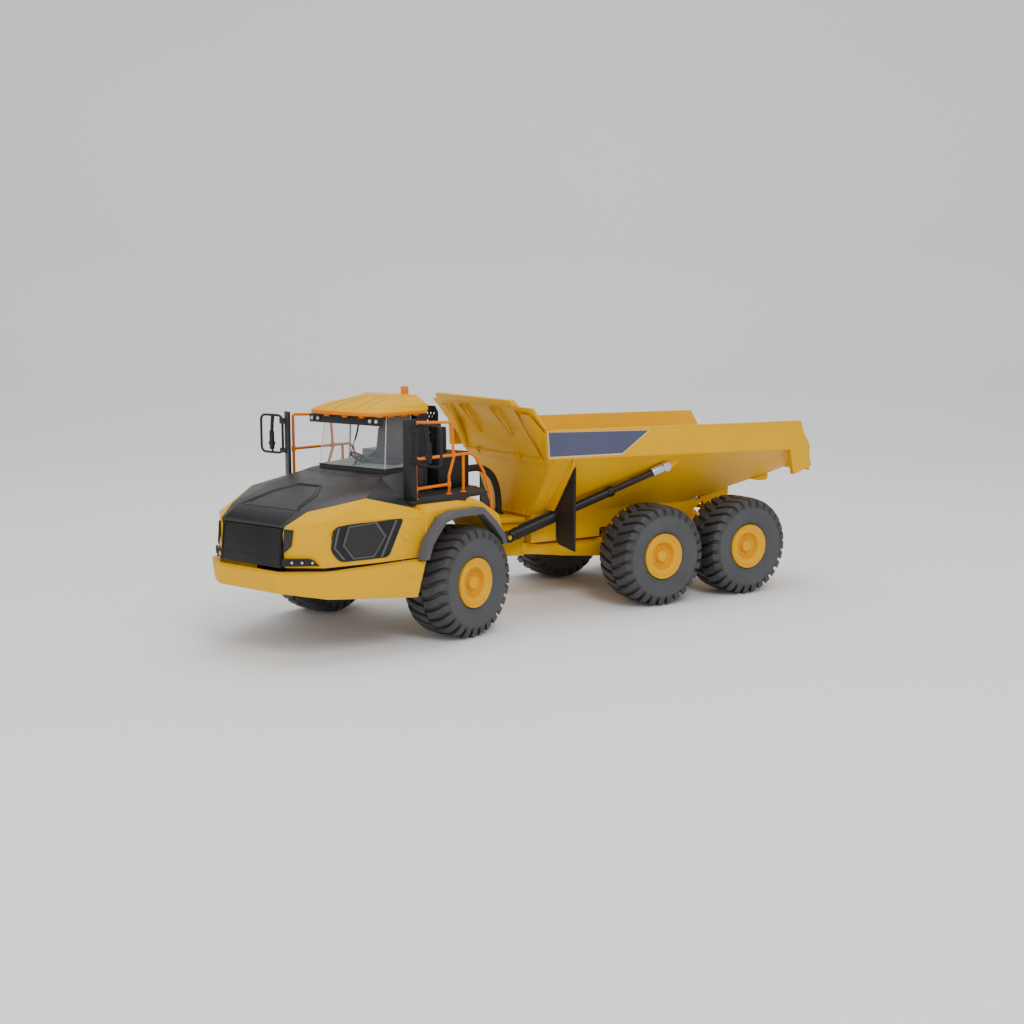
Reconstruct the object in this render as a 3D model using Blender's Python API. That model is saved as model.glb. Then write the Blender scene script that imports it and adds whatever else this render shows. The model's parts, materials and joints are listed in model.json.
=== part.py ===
"""Toy articulated dump truck: six wheels, a front unit that steers about an upright pivot,
a hitch that lets it roll, a tipping bed with two telescopic cylinders and a tilting hood.

Lengths are in millimetres and become metres in the meshes.  Each unit is drawn straight:
X forward from the steering pivot, Y left, Z up from the ground.
"""
import math

import bmesh
import bpy
from mathutils import Matrix, Vector

MM = 0.001

# ---------------------------------------------------------------- driving dimensions
GAP = 0.3                   # between touching pieces
STEER_AT_REST = 19.66       # degrees, front unit turned to its left

TYRE_RADIUS = 55.5
TYRE_WIDTH = 52.4
TYRE_OUTER_Y = 122.4        # outer face of every tyre
RIM_RADIUS = 25.0
RIM_DISH = 9.0              # depth of the dish in the rim's outer face
HUB_RADIUS = 6.0            # axle stub that carries the rim
RUN_GAP = 0.35              # radial clearance of the rim on its stub

FRONT_AXLE_X = 76.2
MID_AXLE_X = -218.8
BOGIE_SPACING = 122.6
AXLE_RADIUS = 7.5
DIFF_RADIUS = 12.0

FRONT_FRAME_TOP = 84.0
HITCH_Z = 72.0
HITCH_PIN_RADIUS = 4.0
HITCH_BOSS_RADIUS = 11.0
HITCH_BOSS_HEIGHT = 26.0
HITCH_EAR = 7.0
ROLL_SHAFT_RADIUS = 8.0
ROLL_SHAFT_BACK = -84.0

FRAME_HALF_WIDTH = 34.0
FRAME_WALL = 10.0
FRAME_TOP = 66.0
FRAME_BOTTOM = 46.0
FRAME_REAR_X = -392.0
FRAME_SPINE_TOP = 77.0     # where the frame runs over the two rear axles
FRAME_STEP_X = -200.0
DECK_Z = 97.5               # top of the frame's nose
DECK_HALF_WIDTH = 34.0
DECK_FRONT_X = -44.0

BED_FLOOR_Z = 100.0         # where floor box and sloping walls meet
BED_BOX_BOTTOM = 70.0
BED_FLOOR_HALF = 42.0
BED_FRONT_X = -96.0
BED_RAIL_Y = 104.0
BED_RAIL_TOP = 198.0
BED_RAIL_HEIGHT = 30.0
BED_RAIL_FRONT_X = -75.0
BED_REAR_X = -432.0
BED_WALL = 3.0
BED_KINK_X = -310.0         # where the floor starts to rise
BED_TAIL_X = -451.0
BED_TAIL_Z = 138.0
BED_HEAD_Z = 222.5
BED_LIP_Z = 229.5
BED_LIP_HALF = 79.5
BED_HINGE_X = -358.0
BED_HINGE_Z = 88.0

CYL_FOOT = (-67.0, 40.0, 79.0)
CYL_EYE = (-239.4, 93.6, 150.4)
BARREL_RADIUS = 6.5
TUBE_RADIUS = 4.9
ROD_RADIUS = 3.6
BARREL_LENGTH = 62.0
CYL_PIN_GAP = 0.7
EYE_HALF_WIDTH = 2.8        # of the ring at the rod's end
BRACKET_SIDE_ROOM = 0.5
BRACKET_PLATE = 2.4
TUBE_END = 128.0            # from the foot pin, retracted

BELT_Z = 83.0
BELT_BEVEL = 2.6
BELT_END_X = 141.0
BELT_END_Y = 112.0
BELT_END_SLANT = 10.0
HOOD_HINGE_X = 262.7
HOOD_HINGE_Z = 88.6
HOOD_WALL = 3.0
HOOD_REAR_X = 141.0
HOOD_SEAM_X = 134.0

FENDER_Y = 105.7
FLARE_WIDTH = 7.0
DECK_LOW = 137.3
COWL_BACK_X = 108.0
CAB_HALF = 45.8
CAB_REAR_X = 64.0
CAB_WALL = 3.0
CAB_FLOOR_Z = 141.0
CAB_TOP_Z = 219.0
WINDSCREEN_FOOT_X = 126.6
WINDSCREEN_TOP_X = 120.0    # the clear canopy leans back and narrows upward
CANOPY_TOP_HALF = 42.4
CANOPY_REAR_X = 84.0
PANE = 1.2
WINDOW_LOW = 167.0
BULKHEAD_Y = 1.5            # the canopy's rear face is closed from here to the left
CAB_PILLAR = 15.0           # square pillar behind the canopy, on the left
LIGHT_BAR_X = 131.6
LIGHT_BAR_LOW = 210.6
LIGHT_BAR_HALF = 49.0
ROOF_RISE = 16.5
BEACON_AT = (72.0, 23.0)
BEACON_RADIUS = 4.1
BEACON_HEIGHT = 10.3
SEAT_DEPTH = 20.0
STEERING_WHEEL_AT = (113.0, -4.0, 176.0)
HANDRAIL_Y = 85.0
HANDRAIL_TOP = 214.0
HANDRAIL_RADIUS = 1.5
FENDER_FOOT_Z = 117.0
MIRROR_POST_AT = (133.0, 85.0)
MIRROR_OUTER_Y = 126.5
AIR_BOX_TOP = 177.0
HOSE_RADIUS = 3.0
HOSE_ROUTE = ((-83.0, -6.0, 99.0), (-83.0, -6.0, 112.0), (-80.0, -5.0, 128.0), (-71.0, -3.0, 143.0),
              (-56.0, -1.0, 151.0), (-38.0, 1.0, 151.0), (-20.0, 2.0, 146.0), (-8.0, 3.0, 140.0))

SIDES = (("left", 1.0), ("right", -1.0))


# ---------------------------------------------------------------- scene and materials
def clear_scene():
    for item in list(bpy.data.objects):
        bpy.data.objects.remove(item, do_unlink=True)


def material(name, colour, roughness, metallic=0.0, alpha=1.0):
    made = bpy.data.materials.new(name)
    made.use_nodes = True
    shader = made.node_tree.nodes["Principled BSDF"]
    shader.inputs["Base Color"].default_value = (*colour, 1.0)
    shader.inputs["Roughness"].default_value = roughness
    shader.inputs["Metallic"].default_value = metallic
    shader.inputs["Alpha"].default_value = alpha
    return made


clear_scene()
YELLOW = (0.82, 0.42, 0.02)
PAINT = {
    "yellow": (YELLOW, 0.38, 0.0, 1.0),
    "black": ((0.02, 0.02, 0.022), 0.45, 0.0, 1.0),
    "grey": ((0.09, 0.09, 0.095), 0.6, 0.0, 1.0),
    "tyre": ((0.045, 0.045, 0.05), 0.75, 0.0, 1.0),
    "orange": ((0.85, 0.22, 0.03), 0.4, 0.0, 1.0),
    "silver": ((0.6, 0.6, 0.62), 0.3, 0.8, 1.0),
    "glass": ((0.85, 0.9, 0.92), 0.05, 0.0, 0.35),
    "slate": ((0.12, 0.16, 0.17), 0.6, 0.0, 1.0),
}

PARENTS = {}


def pivot(name, at, parent=None, turn=0.0):
    """An empty on a joint's axis; at is in the unit's own millimetres."""
    empty = bpy.data.objects.new(name, None)
    bpy.context.scene.collection.objects.link(empty)
    base = Vector((0.0, 0.0, 0.0))
    if parent:
        empty.parent = PARENTS[parent][0]
        base = PARENTS[parent][1]
    empty.location = (Vector(at) - base) * MM
    empty.rotation_euler = (0.0, 0.0, math.radians(turn))
    PARENTS[name] = (empty, Vector(at))
    return empty


def build(name, mesh, paint, parent, origin=None, smooth=None):
    """Links a bmesh drawn in the unit's millimetres, with its origin at the given point."""
    holder, base = PARENTS[parent]
    origin = Vector(origin) if origin is not None else base
    bmesh.ops.translate(mesh, verts=mesh.verts, vec=-origin)
    bmesh.ops.scale(mesh, verts=mesh.verts, vec=(MM, MM, MM))
    bmesh.ops.recalc_face_normals(mesh, faces=mesh.faces)
    data = bpy.data.meshes.new(name)
    mesh.to_mesh(data)
    mesh.free()
    thing = bpy.data.objects.new(name, data)
    bpy.context.scene.collection.objects.link(thing)
    thing.parent = holder
    thing.location = (origin - base) * MM
    data.materials.append(material(name, *PAINT[paint]))
    if smooth:
        data.shade_smooth()
        data.set_sharp_from_angle(angle=math.radians(smooth))
    return thing


# ---------------------------------------------------------------- shapes
def loft(rings):
    """A closed body through rings of points, each ring with the same count."""
    mesh = bmesh.new()
    rows = [[mesh.verts.new(point) for point in ring] for ring in rings]
    count = len(rings[0])
    for low, high in zip(rows, rows[1:]):
        for i in range(count):
            j = (i + 1) % count
            mesh.faces.new((low[i], low[j], high[j], high[i]))
    mesh.faces.new(rows[0][::-1])
    mesh.faces.new(rows[-1])
    bmesh.ops.recalc_face_normals(mesh, faces=mesh.faces)
    bmesh.ops.triangulate(mesh, faces=mesh.faces)
    return mesh


def prism(outline, axis, low, high):
    """An outline of (u, v) points, extruded along axis between low and high."""
    place = {
        "x": lambda u, v, w: (w, u, v),
        "y": lambda u, v, w: (u, w, v),
        "z": lambda u, v, w: (u, v, w),
    }[axis]
    return loft([[place(u, v, w) for u, v in outline] for w in (low, high)])


def box(x0, x1, y0, y1, z0, z1):
    return prism([(x0, y0), (x1, y0), (x1, y1), (x0, y1)], "z", z0, z1)


def rod(start, end, radius, sides=16, end_radius=None):
    start = Vector(start)
    end = Vector(end)
    turn = (end - start).to_track_quat("Z", "Y").to_matrix()
    rings = []
    for centre, size in ((start, radius), (end, end_radius or radius)):
        rings.append([centre + turn @ Vector((size * math.cos(2 * math.pi * k / sides),
                                              size * math.sin(2 * math.pi * k / sides), 0.0))
                      for k in range(sides)])
    return loft(rings)


def turned(profile, centre, axis, sides=48):
    """A profile of (along, radius) points turned about axis through centre, closed by itself."""
    mesh = bmesh.new()
    centre = Vector(centre)
    rings = []
    for along, radius in profile:
        ring = []
        for k in range(sides):
            a = 2 * math.pi * k / sides
            spoke = (radius * math.cos(a), along, radius * math.sin(a))
            if axis == "z":
                spoke = (spoke[0], spoke[2], spoke[1])
            if axis == "x":
                spoke = (spoke[1], spoke[0], spoke[2])
            ring.append(mesh.verts.new(centre + Vector(spoke)))
        rings.append(ring)
    for i in range(len(rings)):
        low = rings[i]
        high = rings[(i + 1) % len(rings)]
        for k in range(sides):
            j = (k + 1) % sides
            mesh.faces.new((low[k], low[j], high[j], high[k]))
    bmesh.ops.recalc_face_normals(mesh, faces=mesh.faces)
    return mesh


def pipe(points, radius, sides=8):
    """A round bar along a path of points, mitred at its bends."""
    points = [Vector(p) for p in points]
    rings = []
    side = None
    for i, point in enumerate(points):
        before = (point - points[i - 1]).normalized() if i else None
        after = (points[i + 1] - point).normalized() if i + 1 < len(points) else None
        along = (before or after) + (after or before)
        along.normalize()
        if side is None:
            side = along.orthogonal().normalized()
        side = (side - along * side.dot(along)).normalized()
        up = along.cross(side)
        stretch = 1.0
        if before and after:
            stretch = 1.0 / max(0.5, along.dot(after))
            bend = (after - before)
            if bend.length > 1e-6:
                bend.normalize()
        ring = []
        for k in range(sides):
            a = 2 * math.pi * k / sides
            offset = side * math.cos(a) * radius + up * math.sin(a) * radius
            if before and after and stretch > 1.001:
                offset += bend * offset.dot(bend) * (stretch - 1.0)
            ring.append(point + offset)
        rings.append(ring)
    return loft(rings)


def both(maker, side):
    """Mirrors a bmesh to the other side when side is -1."""
    if side < 0:
        bmesh.ops.scale(maker, verts=maker.verts, vec=(1.0, -1.0, 1.0))
        bmesh.ops.reverse_faces(maker, faces=maker.faces)
    return maker


def combine(first, others, operation):
    """Boolean of bmeshes: UNION adds, DIFFERENCE cuts."""
    def as_object(mesh):
        bmesh.ops.recalc_face_normals(mesh, faces=mesh.faces)
        data = bpy.data.meshes.new("scratch")
        mesh.to_mesh(data)
        mesh.free()
        thing = bpy.data.objects.new("scratch", data)
        bpy.context.scene.collection.objects.link(thing)
        return thing

    body = as_object(first)
    tools = []
    for other in others:
        tool = as_object(other)
        step = body.modifiers.new("step", "BOOLEAN")
        step.operation = operation
        step.solver = "EXACT"
        step.object = tool
        tools.append(tool)
    graph = bpy.context.evaluated_depsgraph_get()
    result = bmesh.new()
    result.from_mesh(body.evaluated_get(graph).to_mesh())
    for thing in tools + [body]:
        bpy.data.objects.remove(thing, do_unlink=True)
    bmesh.ops.remove_doubles(result, verts=result.verts, dist=0.002)
    bmesh.ops.dissolve_degenerate(result, dist=0.002, edges=result.edges)
    bmesh.ops.triangulate(result, faces=result.faces)
    return result


def join(*parts):
    return combine(parts[0], parts[1:], "UNION")


def cut(body, *tools):
    return combine(body, tools, "DIFFERENCE")


# ---------------------------------------------------------------- wheels and axles
def wheel(name, x, side, parent):
    centre = (x, 0.0, TYRE_RADIUS)
    inner = TYRE_OUTER_Y - TYRE_WIDTH
    shoulder = 7.0
    crown = TYRE_RADIUS
    bead = RIM_RADIUS + GAP
    profile = [(inner + 3.0, bead), (inner, bead + 6.0), (inner, crown - 14.0), (inner + 2.0, crown - 5.0),
               (inner + shoulder, crown), (TYRE_OUTER_Y - shoulder, crown), (TYRE_OUTER_Y - 2.0, crown - 5.0),
               (TYRE_OUTER_Y, crown - 14.0), (TYRE_OUTER_Y - 0.8, bead + 6.0), (TYRE_OUTER_Y - 2.5, bead)]
    profile = [(side * along, radius) for along, radius in profile]
    build("tyre_" + name, turned(profile, centre, "y", 32), "tyre", parent, origin=(x, side * 96.0, TYRE_RADIUS),
          smooth=35)
    face = TYRE_OUTER_Y - 2.0
    bore = HUB_RADIUS + RUN_GAP
    rim = [(inner + 4.0, bore), (inner + 4.0, RIM_RADIUS - 1.0), (inner + 6.0, RIM_RADIUS), (face, RIM_RADIUS),
           (face, RIM_RADIUS - 3.5), (face - RIM_DISH, RIM_RADIUS - 7.0), (face - RIM_DISH, 9.5),
           (face - RIM_DISH + 3.0, 8.5), (face - RIM_DISH + 3.0, bore)]
    rim = [(side * along, radius) for along, radius in rim]
    build("rim_" + name, turned(rim, centre, "y", 24), "yellow", parent, origin=(x, side * 96.0, TYRE_RADIUS),
          smooth=35)


def axle(name, x, parent):
    z = TYRE_RADIUS
    inner = TYRE_OUTER_Y - TYRE_WIDTH
    end = TYRE_OUTER_Y - 2.0 - RIM_DISH + 4.0
    flange = inner + 4.0 - GAP
    half = [(0.0, DIFF_RADIUS), (14.0, DIFF_RADIUS), (20.0, 9.0), (26.0, AXLE_RADIUS), (flange - 8.0, AXLE_RADIUS),
            (flange - 8.0, 12.0), (flange, 12.0), (flange, HUB_RADIUS), (end, HUB_RADIUS)]
    outline = [(-along, radius) for along, radius in half[::-1]] + half[1:]
    rings = []
    sides = 16
    for along, radius in outline:
        rings.append([(x + radius * math.cos(2 * math.pi * k / sides), along,
                       z + radius * math.sin(2 * math.pi * k / sides)) for k in range(sides)])
    build(name, loft(rings), "black", parent, smooth=35)


# ---------------------------------------------------------------- rear unit
def rear_frame():
    nose = prism([(DECK_FRONT_X, -20), (-62, -DECK_HALF_WIDTH + 8), (BED_FRONT_X + 3.0, -DECK_HALF_WIDTH),
                  (BED_FRONT_X + 3.0, DECK_HALF_WIDTH), (-62, DECK_HALF_WIDTH - 8), (DECK_FRONT_X, 20)],
                 "z", DECK_Z - 5.0, DECK_Z)
    throat = prism([(DECK_FRONT_X, -16), (BED_FRONT_X + 2.0, 3.0 - FRAME_HALF_WIDTH), (BED_FRONT_X + 2.0, FRAME_HALF_WIDTH - 3.0),
                    (DECK_FRONT_X, 16)], "z", HITCH_Z - 17.0, DECK_Z - 4.0)
    neck = loft([[(x, -half, low), (x, half, low), (x, half, high), (x, -half, high)]
                 for x, half, low, high in ((BED_FRONT_X + 6.0, 31.0, 57.0, FRAME_TOP + 4.0),
                                            (-112.0, FRAME_HALF_WIDTH, 55.0, FRAME_TOP),
                                            (-150.0, FRAME_HALF_WIDTH, 50.0, FRAME_TOP))])
    parts = [throat, nose, neck]
    for side in (1, -1):
        outer = side * FRAME_HALF_WIDTH
        inner = side * (FRAME_HALF_WIDTH - FRAME_WALL)
        parts.append(prism([(-140.0, FRAME_TOP), (-140.0, 51.0), (-190.0, FRAME_BOTTOM), (FRAME_REAR_X, FRAME_BOTTOM),
                            (FRAME_REAR_X, FRAME_TOP), (FRAME_REAR_X + 10.0, FRAME_SPINE_TOP),
                            (FRAME_STEP_X - 8.0, FRAME_SPINE_TOP), (FRAME_STEP_X, FRAME_TOP)],
                           "y", min(outer, inner), max(outer, inner)))
        ear = side * (FRAME_HALF_WIDTH - 8.0)
        parts.append(prism([(BED_HINGE_X - 9.0, FRAME_SPINE_TOP - 2.0), (BED_HINGE_X - 5.0, BED_HINGE_Z + 5.0),
                            (BED_HINGE_X + 5.0, BED_HINGE_Z + 5.0), (BED_HINGE_X + 9.0, FRAME_SPINE_TOP - 2.0)],
                           "y", min(ear, ear + side * 7.0), max(ear, ear + side * 7.0)))
        parts.append(rod((CYL_FOOT[0], side * 20.0, CYL_FOOT[2]), (CYL_FOOT[0], side * (CYL_FOOT[1] + 5.0), CYL_FOOT[2]),
                         2.5, 14))
    for x in (-180.0, -280.0, -384.0):
        parts.append(box(x - 6.0, x + 6.0, -26.0, 26.0, FRAME_BOTTOM + 3.0, FRAME_TOP - 3.0))
    parts.append(rod((BED_HINGE_X, -FRAME_HALF_WIDTH - 7.0, BED_HINGE_Z), (BED_HINGE_X, FRAME_HALF_WIDTH + 7.0, BED_HINGE_Z),
                     2.5, 14))
    body = join(*parts)
    arches = []
    for x in (MID_AXLE_X, MID_AXLE_X - BOGIE_SPACING):
        room = AXLE_RADIUS + 2.0
        arches.append(rod((x, -60.0, TYRE_RADIUS), (x, 60.0, TYRE_RADIUS), room, 20))
        arches.append(box(x - room, x + room, -60.0, 60.0, 30.0, TYRE_RADIUS))
    body = cut(body, *arches)
    bore = rod((DECK_FRONT_X + 5.0, 0, HITCH_Z), (ROLL_SHAFT_BACK - 2.0, 0, HITCH_Z), ROLL_SHAFT_RADIUS + RUN_GAP, 24)
    return build("rear_frame", cut(body, bore), "yellow", "rear_unit")


def bogie_beams():
    """Walking beams between the two rear axles, carried on a short trunnion off the frame."""
    middle = MID_AXLE_X - BOGIE_SPACING / 2
    rear = MID_AXLE_X - BOGIE_SPACING
    low = TYRE_RADIUS - 7.0
    high = TYRE_RADIUS + 7.0
    inner = FRAME_HALF_WIDTH + 8.0
    for name, side in SIDES:
        shape = prism([(MID_AXLE_X + 12.0, TYRE_RADIUS - 11.0), (middle, low - 3.0), (rear - 12.0, TYRE_RADIUS - 11.0),
                       (rear - 12.0, TYRE_RADIUS + 11.0), (middle, high + 5.0), (MID_AXLE_X + 12.0, TYRE_RADIUS + 11.0)],
                      "y", inner, inner + 9.0)
        stub = rod((middle, FRAME_HALF_WIDTH + GAP, TYRE_RADIUS), (middle, inner + 2.0, TYRE_RADIUS), 7.0, 20)
        body = join(shape, stub)
        holes = [rod((x, inner - 3.0, TYRE_RADIUS), (x, inner + 14.0, TYRE_RADIUS), AXLE_RADIUS + GAP, 20)
                 for x in (MID_AXLE_X, rear)]
        build("bogie_beam_" + name, both(cut(body, *holes), side), "black", "rear_unit")


def wall_y(z, offset=0.0):
    """Half-width of the sloping side wall's outer face at height z."""
    share = (z - BED_FLOOR_Z) / (BED_RAIL_TOP - BED_RAIL_HEIGHT - BED_FLOOR_Z)
    return BED_FLOOR_HALF + share * (BED_RAIL_Y - 4.0 - BED_FLOOR_HALF) + offset


def bed():
    rail_low = BED_RAIL_TOP - BED_RAIL_HEIGHT

    def ring(x, floor_z, half, low_half, top_z, rail_y, inset, up):
        """One cross-section: outer shape when inset is 0, the load space when it is the wall."""
        shoulder = top_z - BED_RAIL_HEIGHT
        return [(x, -low_half + inset, floor_z + up), (x, low_half - inset, floor_z + up),
                (x, half - inset, floor_z + 1.0 + up), (x, rail_y - inset, shoulder + up * 0.5),
                (x, rail_y - inset, top_z + up * 40.0), (x, -rail_y + inset, top_z + up * 40.0),
                (x, -rail_y + inset, shoulder + up * 0.5), (x, -half + inset, floor_z + 1.0 + up)]

    stations = ((BED_FRONT_X + 1.0, BED_FLOOR_Z, 40.0), (BED_FRONT_X - 16.0, BED_FLOOR_Z, BED_FLOOR_HALF),
                (BED_KINK_X, BED_FLOOR_Z, BED_FLOOR_HALF), (BED_REAR_X, 127.0, 52.0),
                (BED_TAIL_X, BED_TAIL_Z - 5.0, 56.0))
    tops = (BED_RAIL_TOP, BED_RAIL_TOP, BED_RAIL_TOP - 2.0, BED_RAIL_TOP - 4.0, BED_RAIL_TOP - 34.0)
    outer = []
    inner = []
    for (x, floor_z, half), top in zip(stations, tops):
        rail_y = BED_RAIL_Y - (15.0 if x > BED_FRONT_X else 4.0)
        outer.append(ring(x, floor_z, half, half - 4.0, top, rail_y, 0.0, 0.0))
        inner.append(ring(x, floor_z, half, half - 4.0, top, rail_y, BED_WALL, BED_WALL))
    inner[0] = [(BED_FRONT_X - 1.0 + 2.0, y, z) for _, y, z in inner[0]]
    inner[-1] = [(BED_TAIL_X - 10.0, y, z) for _, y, z in inner[-1]]
    body = loft(outer)
    space = loft(inner)
    keel = prism([(BED_FRONT_X, BED_BOX_BOTTOM), (BED_FRONT_X, BED_FLOOR_Z + 1.5), (BED_KINK_X - 30.0, BED_FLOOR_Z + 1.5),
                  (BED_KINK_X, FRAME_SPINE_TOP + 3.0), (FRAME_STEP_X + 12.0, FRAME_SPINE_TOP + 3.0),
                  (FRAME_STEP_X + 12.0, BED_BOX_BOTTOM)], "y", -BED_FLOOR_HALF + 0.5, BED_FLOOR_HALF - 0.5)
    extras = [keel]
    for side in (1, -1):
        rail = prism([(BED_RAIL_FRONT_X, BED_RAIL_TOP), (BED_RAIL_FRONT_X - 2.0, rail_low), (-416.0, 160.6),
                      (-422.5, 131.3), (BED_TAIL_X, 140.0), (BED_REAR_X, BED_RAIL_TOP - 4.0)],
                     "y", min(side * (BED_RAIL_Y - 6.0), side * BED_RAIL_Y), max(side * (BED_RAIL_Y - 6.0), side * BED_RAIL_Y))
        extras.append(rail)
        eye_x, eye_y, eye_z = CYL_EYE
        plate_out = eye_y - EYE_HALF_WIDTH - BRACKET_SIDE_ROOM
        bracket = prism([(eye_x + 19.0, rail_low - 5.0), (eye_x - 31.0, rail_low - 6.0), (eye_x - 29.0, 158.0),
                         (eye_x - 11.0, eye_z - 3.5), (eye_x - 6.0, eye_z - 3.5), (eye_x + 1.0, eye_z + 5.6)],
                        "y", min(side * (plate_out - BRACKET_PLATE), side * plate_out),
                        max(side * (plate_out - BRACKET_PLATE), side * plate_out))
        extras.append(bracket)
        ear = prism([(BED_HINGE_X + 9.0, BED_HINGE_Z - 6.0), (BED_HINGE_X - 7.0, BED_HINGE_Z - 6.0),
                     (BED_HINGE_X - 19.5, BED_HINGE_Z + 10.0), (BED_HINGE_X - 19.5, 117.0),
                     (BED_HINGE_X + 24.0, 104.0)],
                    "y", min(side * 34.5, side * 40.5), max(side * 34.5, side * 40.5))
        extras.append(ear)
        rib = prism([(side * 47.0, 106.5), (side * 61.0, 106.5), (side * 99.0, 159.0), (side * 99.0, 169.0),
                     (side * 95.0, 169.0)], "x", -113.5, -111.5)
        extras.append(rib)
    head = loft([[(x, -half, z), (x, half, z), (x + thick, half, z), (x + thick, -half, z)]
                 for x, half, z, thick in ((BED_FRONT_X + 3.0, 84.0, 160.0, 4.0), (-88.0, 94.0, 175.0, 4.0),
                                           (-80.0, 100.0, 198.0, 4.0), (-62.0, BED_RAIL_Y, 218.0, 4.0),
                                           (-59.0, BED_RAIL_Y, BED_HEAD_Z, 5.0))])
    lip = loft([[(x, -BED_LIP_HALF, z), (x, BED_LIP_HALF, z), (x + 5.0, BED_LIP_HALF, z), (x + 5.0, -BED_LIP_HALF, z)]
                for x, z in ((-60.0, BED_HEAD_Z - 2.0), (-50.0, BED_LIP_Z))])
    body = join(cut(body, space), *extras, head, lip)
    holes = [rod((BED_HINGE_X, -60.0, BED_HINGE_Z), (BED_HINGE_X, 60.0, BED_HINGE_Z), 2.5 + RUN_GAP, 14)]
    return build("bed", cut(body, *holes), "yellow", "bed_axis")


def mudflaps():
    x = -115.0
    for name, side in SIDES:
        flap = prism([(98.0, 158.0), (63.5, 110.0), (63.5, 76.0), (68.0, 71.0), (98.0, 67.0)], "x", x - 1.2, x + 1.2)
        build("mudflap_" + name, both(flap, side), "black", "bed_axis")


def cylinders():
    for name, side in SIDES:
        foot = Vector((CYL_FOOT[0], side * CYL_FOOT[1], CYL_FOOT[2]))
        eye = Vector((CYL_EYE[0], side * CYL_EYE[1], CYL_EYE[2]))
        along = (eye - foot).normalized()
        length = (eye - foot).length
        frame_pin = Vector((0.0, 1.0, 0.0))
        parent = "cylinder_" + name + "_axis"

        def at(distance):
            return foot + along * distance

        boss = rod(foot - frame_pin * 4.0, foot + frame_pin * 4.0, 6.0, 18)
        tube = rod(at(3.0), at(BARREL_LENGTH), BARREL_RADIUS, 20)
        body = cut(join(tube, boss), rod(foot - frame_pin * 9.0, foot + frame_pin * 9.0, 2.5 + CYL_PIN_GAP, 14),
                   rod(at(8.5), at(BARREL_LENGTH + 5.0), TUBE_RADIUS + RUN_GAP, 20))
        build("cylinder_barrel_" + name, body, "black", parent, smooth=35)
        body = cut(rod(at(9.0), at(TUBE_END), TUBE_RADIUS, 20),
                   rod(at(12.0), at(TUBE_END + 5.0), ROD_RADIUS + RUN_GAP, 18))
        build("cylinder_tube_" + name, body, "black", parent, smooth=35)
        ring = rod(eye - frame_pin * 2.8, eye + frame_pin * 2.8, 4.8, 18)
        stem = rod(at(12.5), at(length - 2.0), ROD_RADIUS, 16)
        body = join(stem, ring)
        build("cylinder_rod_" + name, body, "silver", parent, smooth=35)


# ---------------------------------------------------------------- hitch
def hitch():
    half = HITCH_BOSS_HEIGHT / 2
    boss = rod((0, 0, HITCH_Z - half), (0, 0, HITCH_Z + half), HITCH_BOSS_RADIUS, 28)
    shaft = rod((-6.0, 0, HITCH_Z), (ROLL_SHAFT_BACK, 0, HITCH_Z), ROLL_SHAFT_RADIUS, 24)
    collar = rod((-22.0, 0, HITCH_Z), (DECK_FRONT_X + GAP, 0, HITCH_Z), 12.0, 24)
    body = cut(join(boss, shaft, collar), rod((0, 0, 30.0), (0, 0, 120.0), HITCH_PIN_RADIUS + RUN_GAP, 20))
    return build("hitch", body, "black", "hitch_axis", smooth=35)


# ---------------------------------------------------------------- front unit
def front_frame():
    half = HITCH_BOSS_HEIGHT / 2
    parts = []
    for low, high in ((HITCH_Z + half + GAP, HITCH_Z + half + GAP + HITCH_EAR),
                      (HITCH_Z - half - GAP - HITCH_EAR, HITCH_Z - half - GAP)):
        ear = prism([(-6.0, -10.0), (8.0, -15.0), (26.0, -18.0), (26.0, 18.0), (8.0, 15.0), (-6.0, 10.0)], "z", low, high)
        parts.append(ear)
    parts.append(box(17.0, 26.0, -18.0, 18.0, HITCH_Z - half - GAP - HITCH_EAR, HITCH_Z + half + GAP + HITCH_EAR))
    parts.append(rod((0, 0, HITCH_Z - half - 7.0), (0, 0, HITCH_Z + half + 7.0), HITCH_PIN_RADIUS, 20))
    for side in (1, -1):
        rail = prism([(20.0, 48.0), (52.0, TYRE_RADIUS + DIFF_RADIUS + GAP), (100.0, TYRE_RADIUS + DIFF_RADIUS + GAP),
                      (236.0, 60.0), (236.0, FRONT_FRAME_TOP), (56.0, FRONT_FRAME_TOP), (20.0, 92.0)],
                     "y", min(side * 12.0, side * 20.0), max(side * 12.0, side * 20.0))
        parts.append(rail)
    for x in (150.0, 228.0):
        parts.append(box(x, x + 7.0, -19.0, 19.0, 64.0, 78.0))
    return build("front_frame", join(*parts), "black", "front_unit")


def bumper():
    """A belt in plan from one side's end round the nose to the other, leaning in towards its foot."""
    left = ((BELT_END_X, BELT_END_Y, 52.0, BELT_Z + 2.5, 0.0), (240.0, 81.3, 60.0, BELT_Z, 2.5),
            (271.4, 42.0, 65.0, BELT_Z, 6.0))
    stations = list(left) + [(x, -y, low, high, lean) for x, y, low, high, lean in left[::-1]]
    rings = []
    for x, y, low, high, lean in stations:
        side = math.copysign(1.0, y)
        if abs(y) < 60.0:
            push = Vector((-8.0, -side * 2.0, 0.0))
        elif abs(y) < 100.0:
            push = Vector((-5.0, -side * 6.5, 0.0))
        else:
            push = Vector((0.0, -side * 7.0, 0.0))
        out = Vector((x, y, 0.0))
        tuck = push.normalized() * lean
        if abs(y) > 100.0:
            tuck = Vector((BELT_END_SLANT, -side * 2.0, 0.0))
        rings.append([out + tuck + Vector((0, 0, low)), out + Vector((0, 0, high)),
                      out + push + Vector((0, 0, high + BELT_BEVEL)), out + push + tuck + Vector((0, 0, low))])
    strap = box(236.0 + GAP, 266.0, -30.0, 30.0, 66.0, 78.0)
    return build("front_bumper", join(loft(rings), strap), "yellow", "front_unit")


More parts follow.
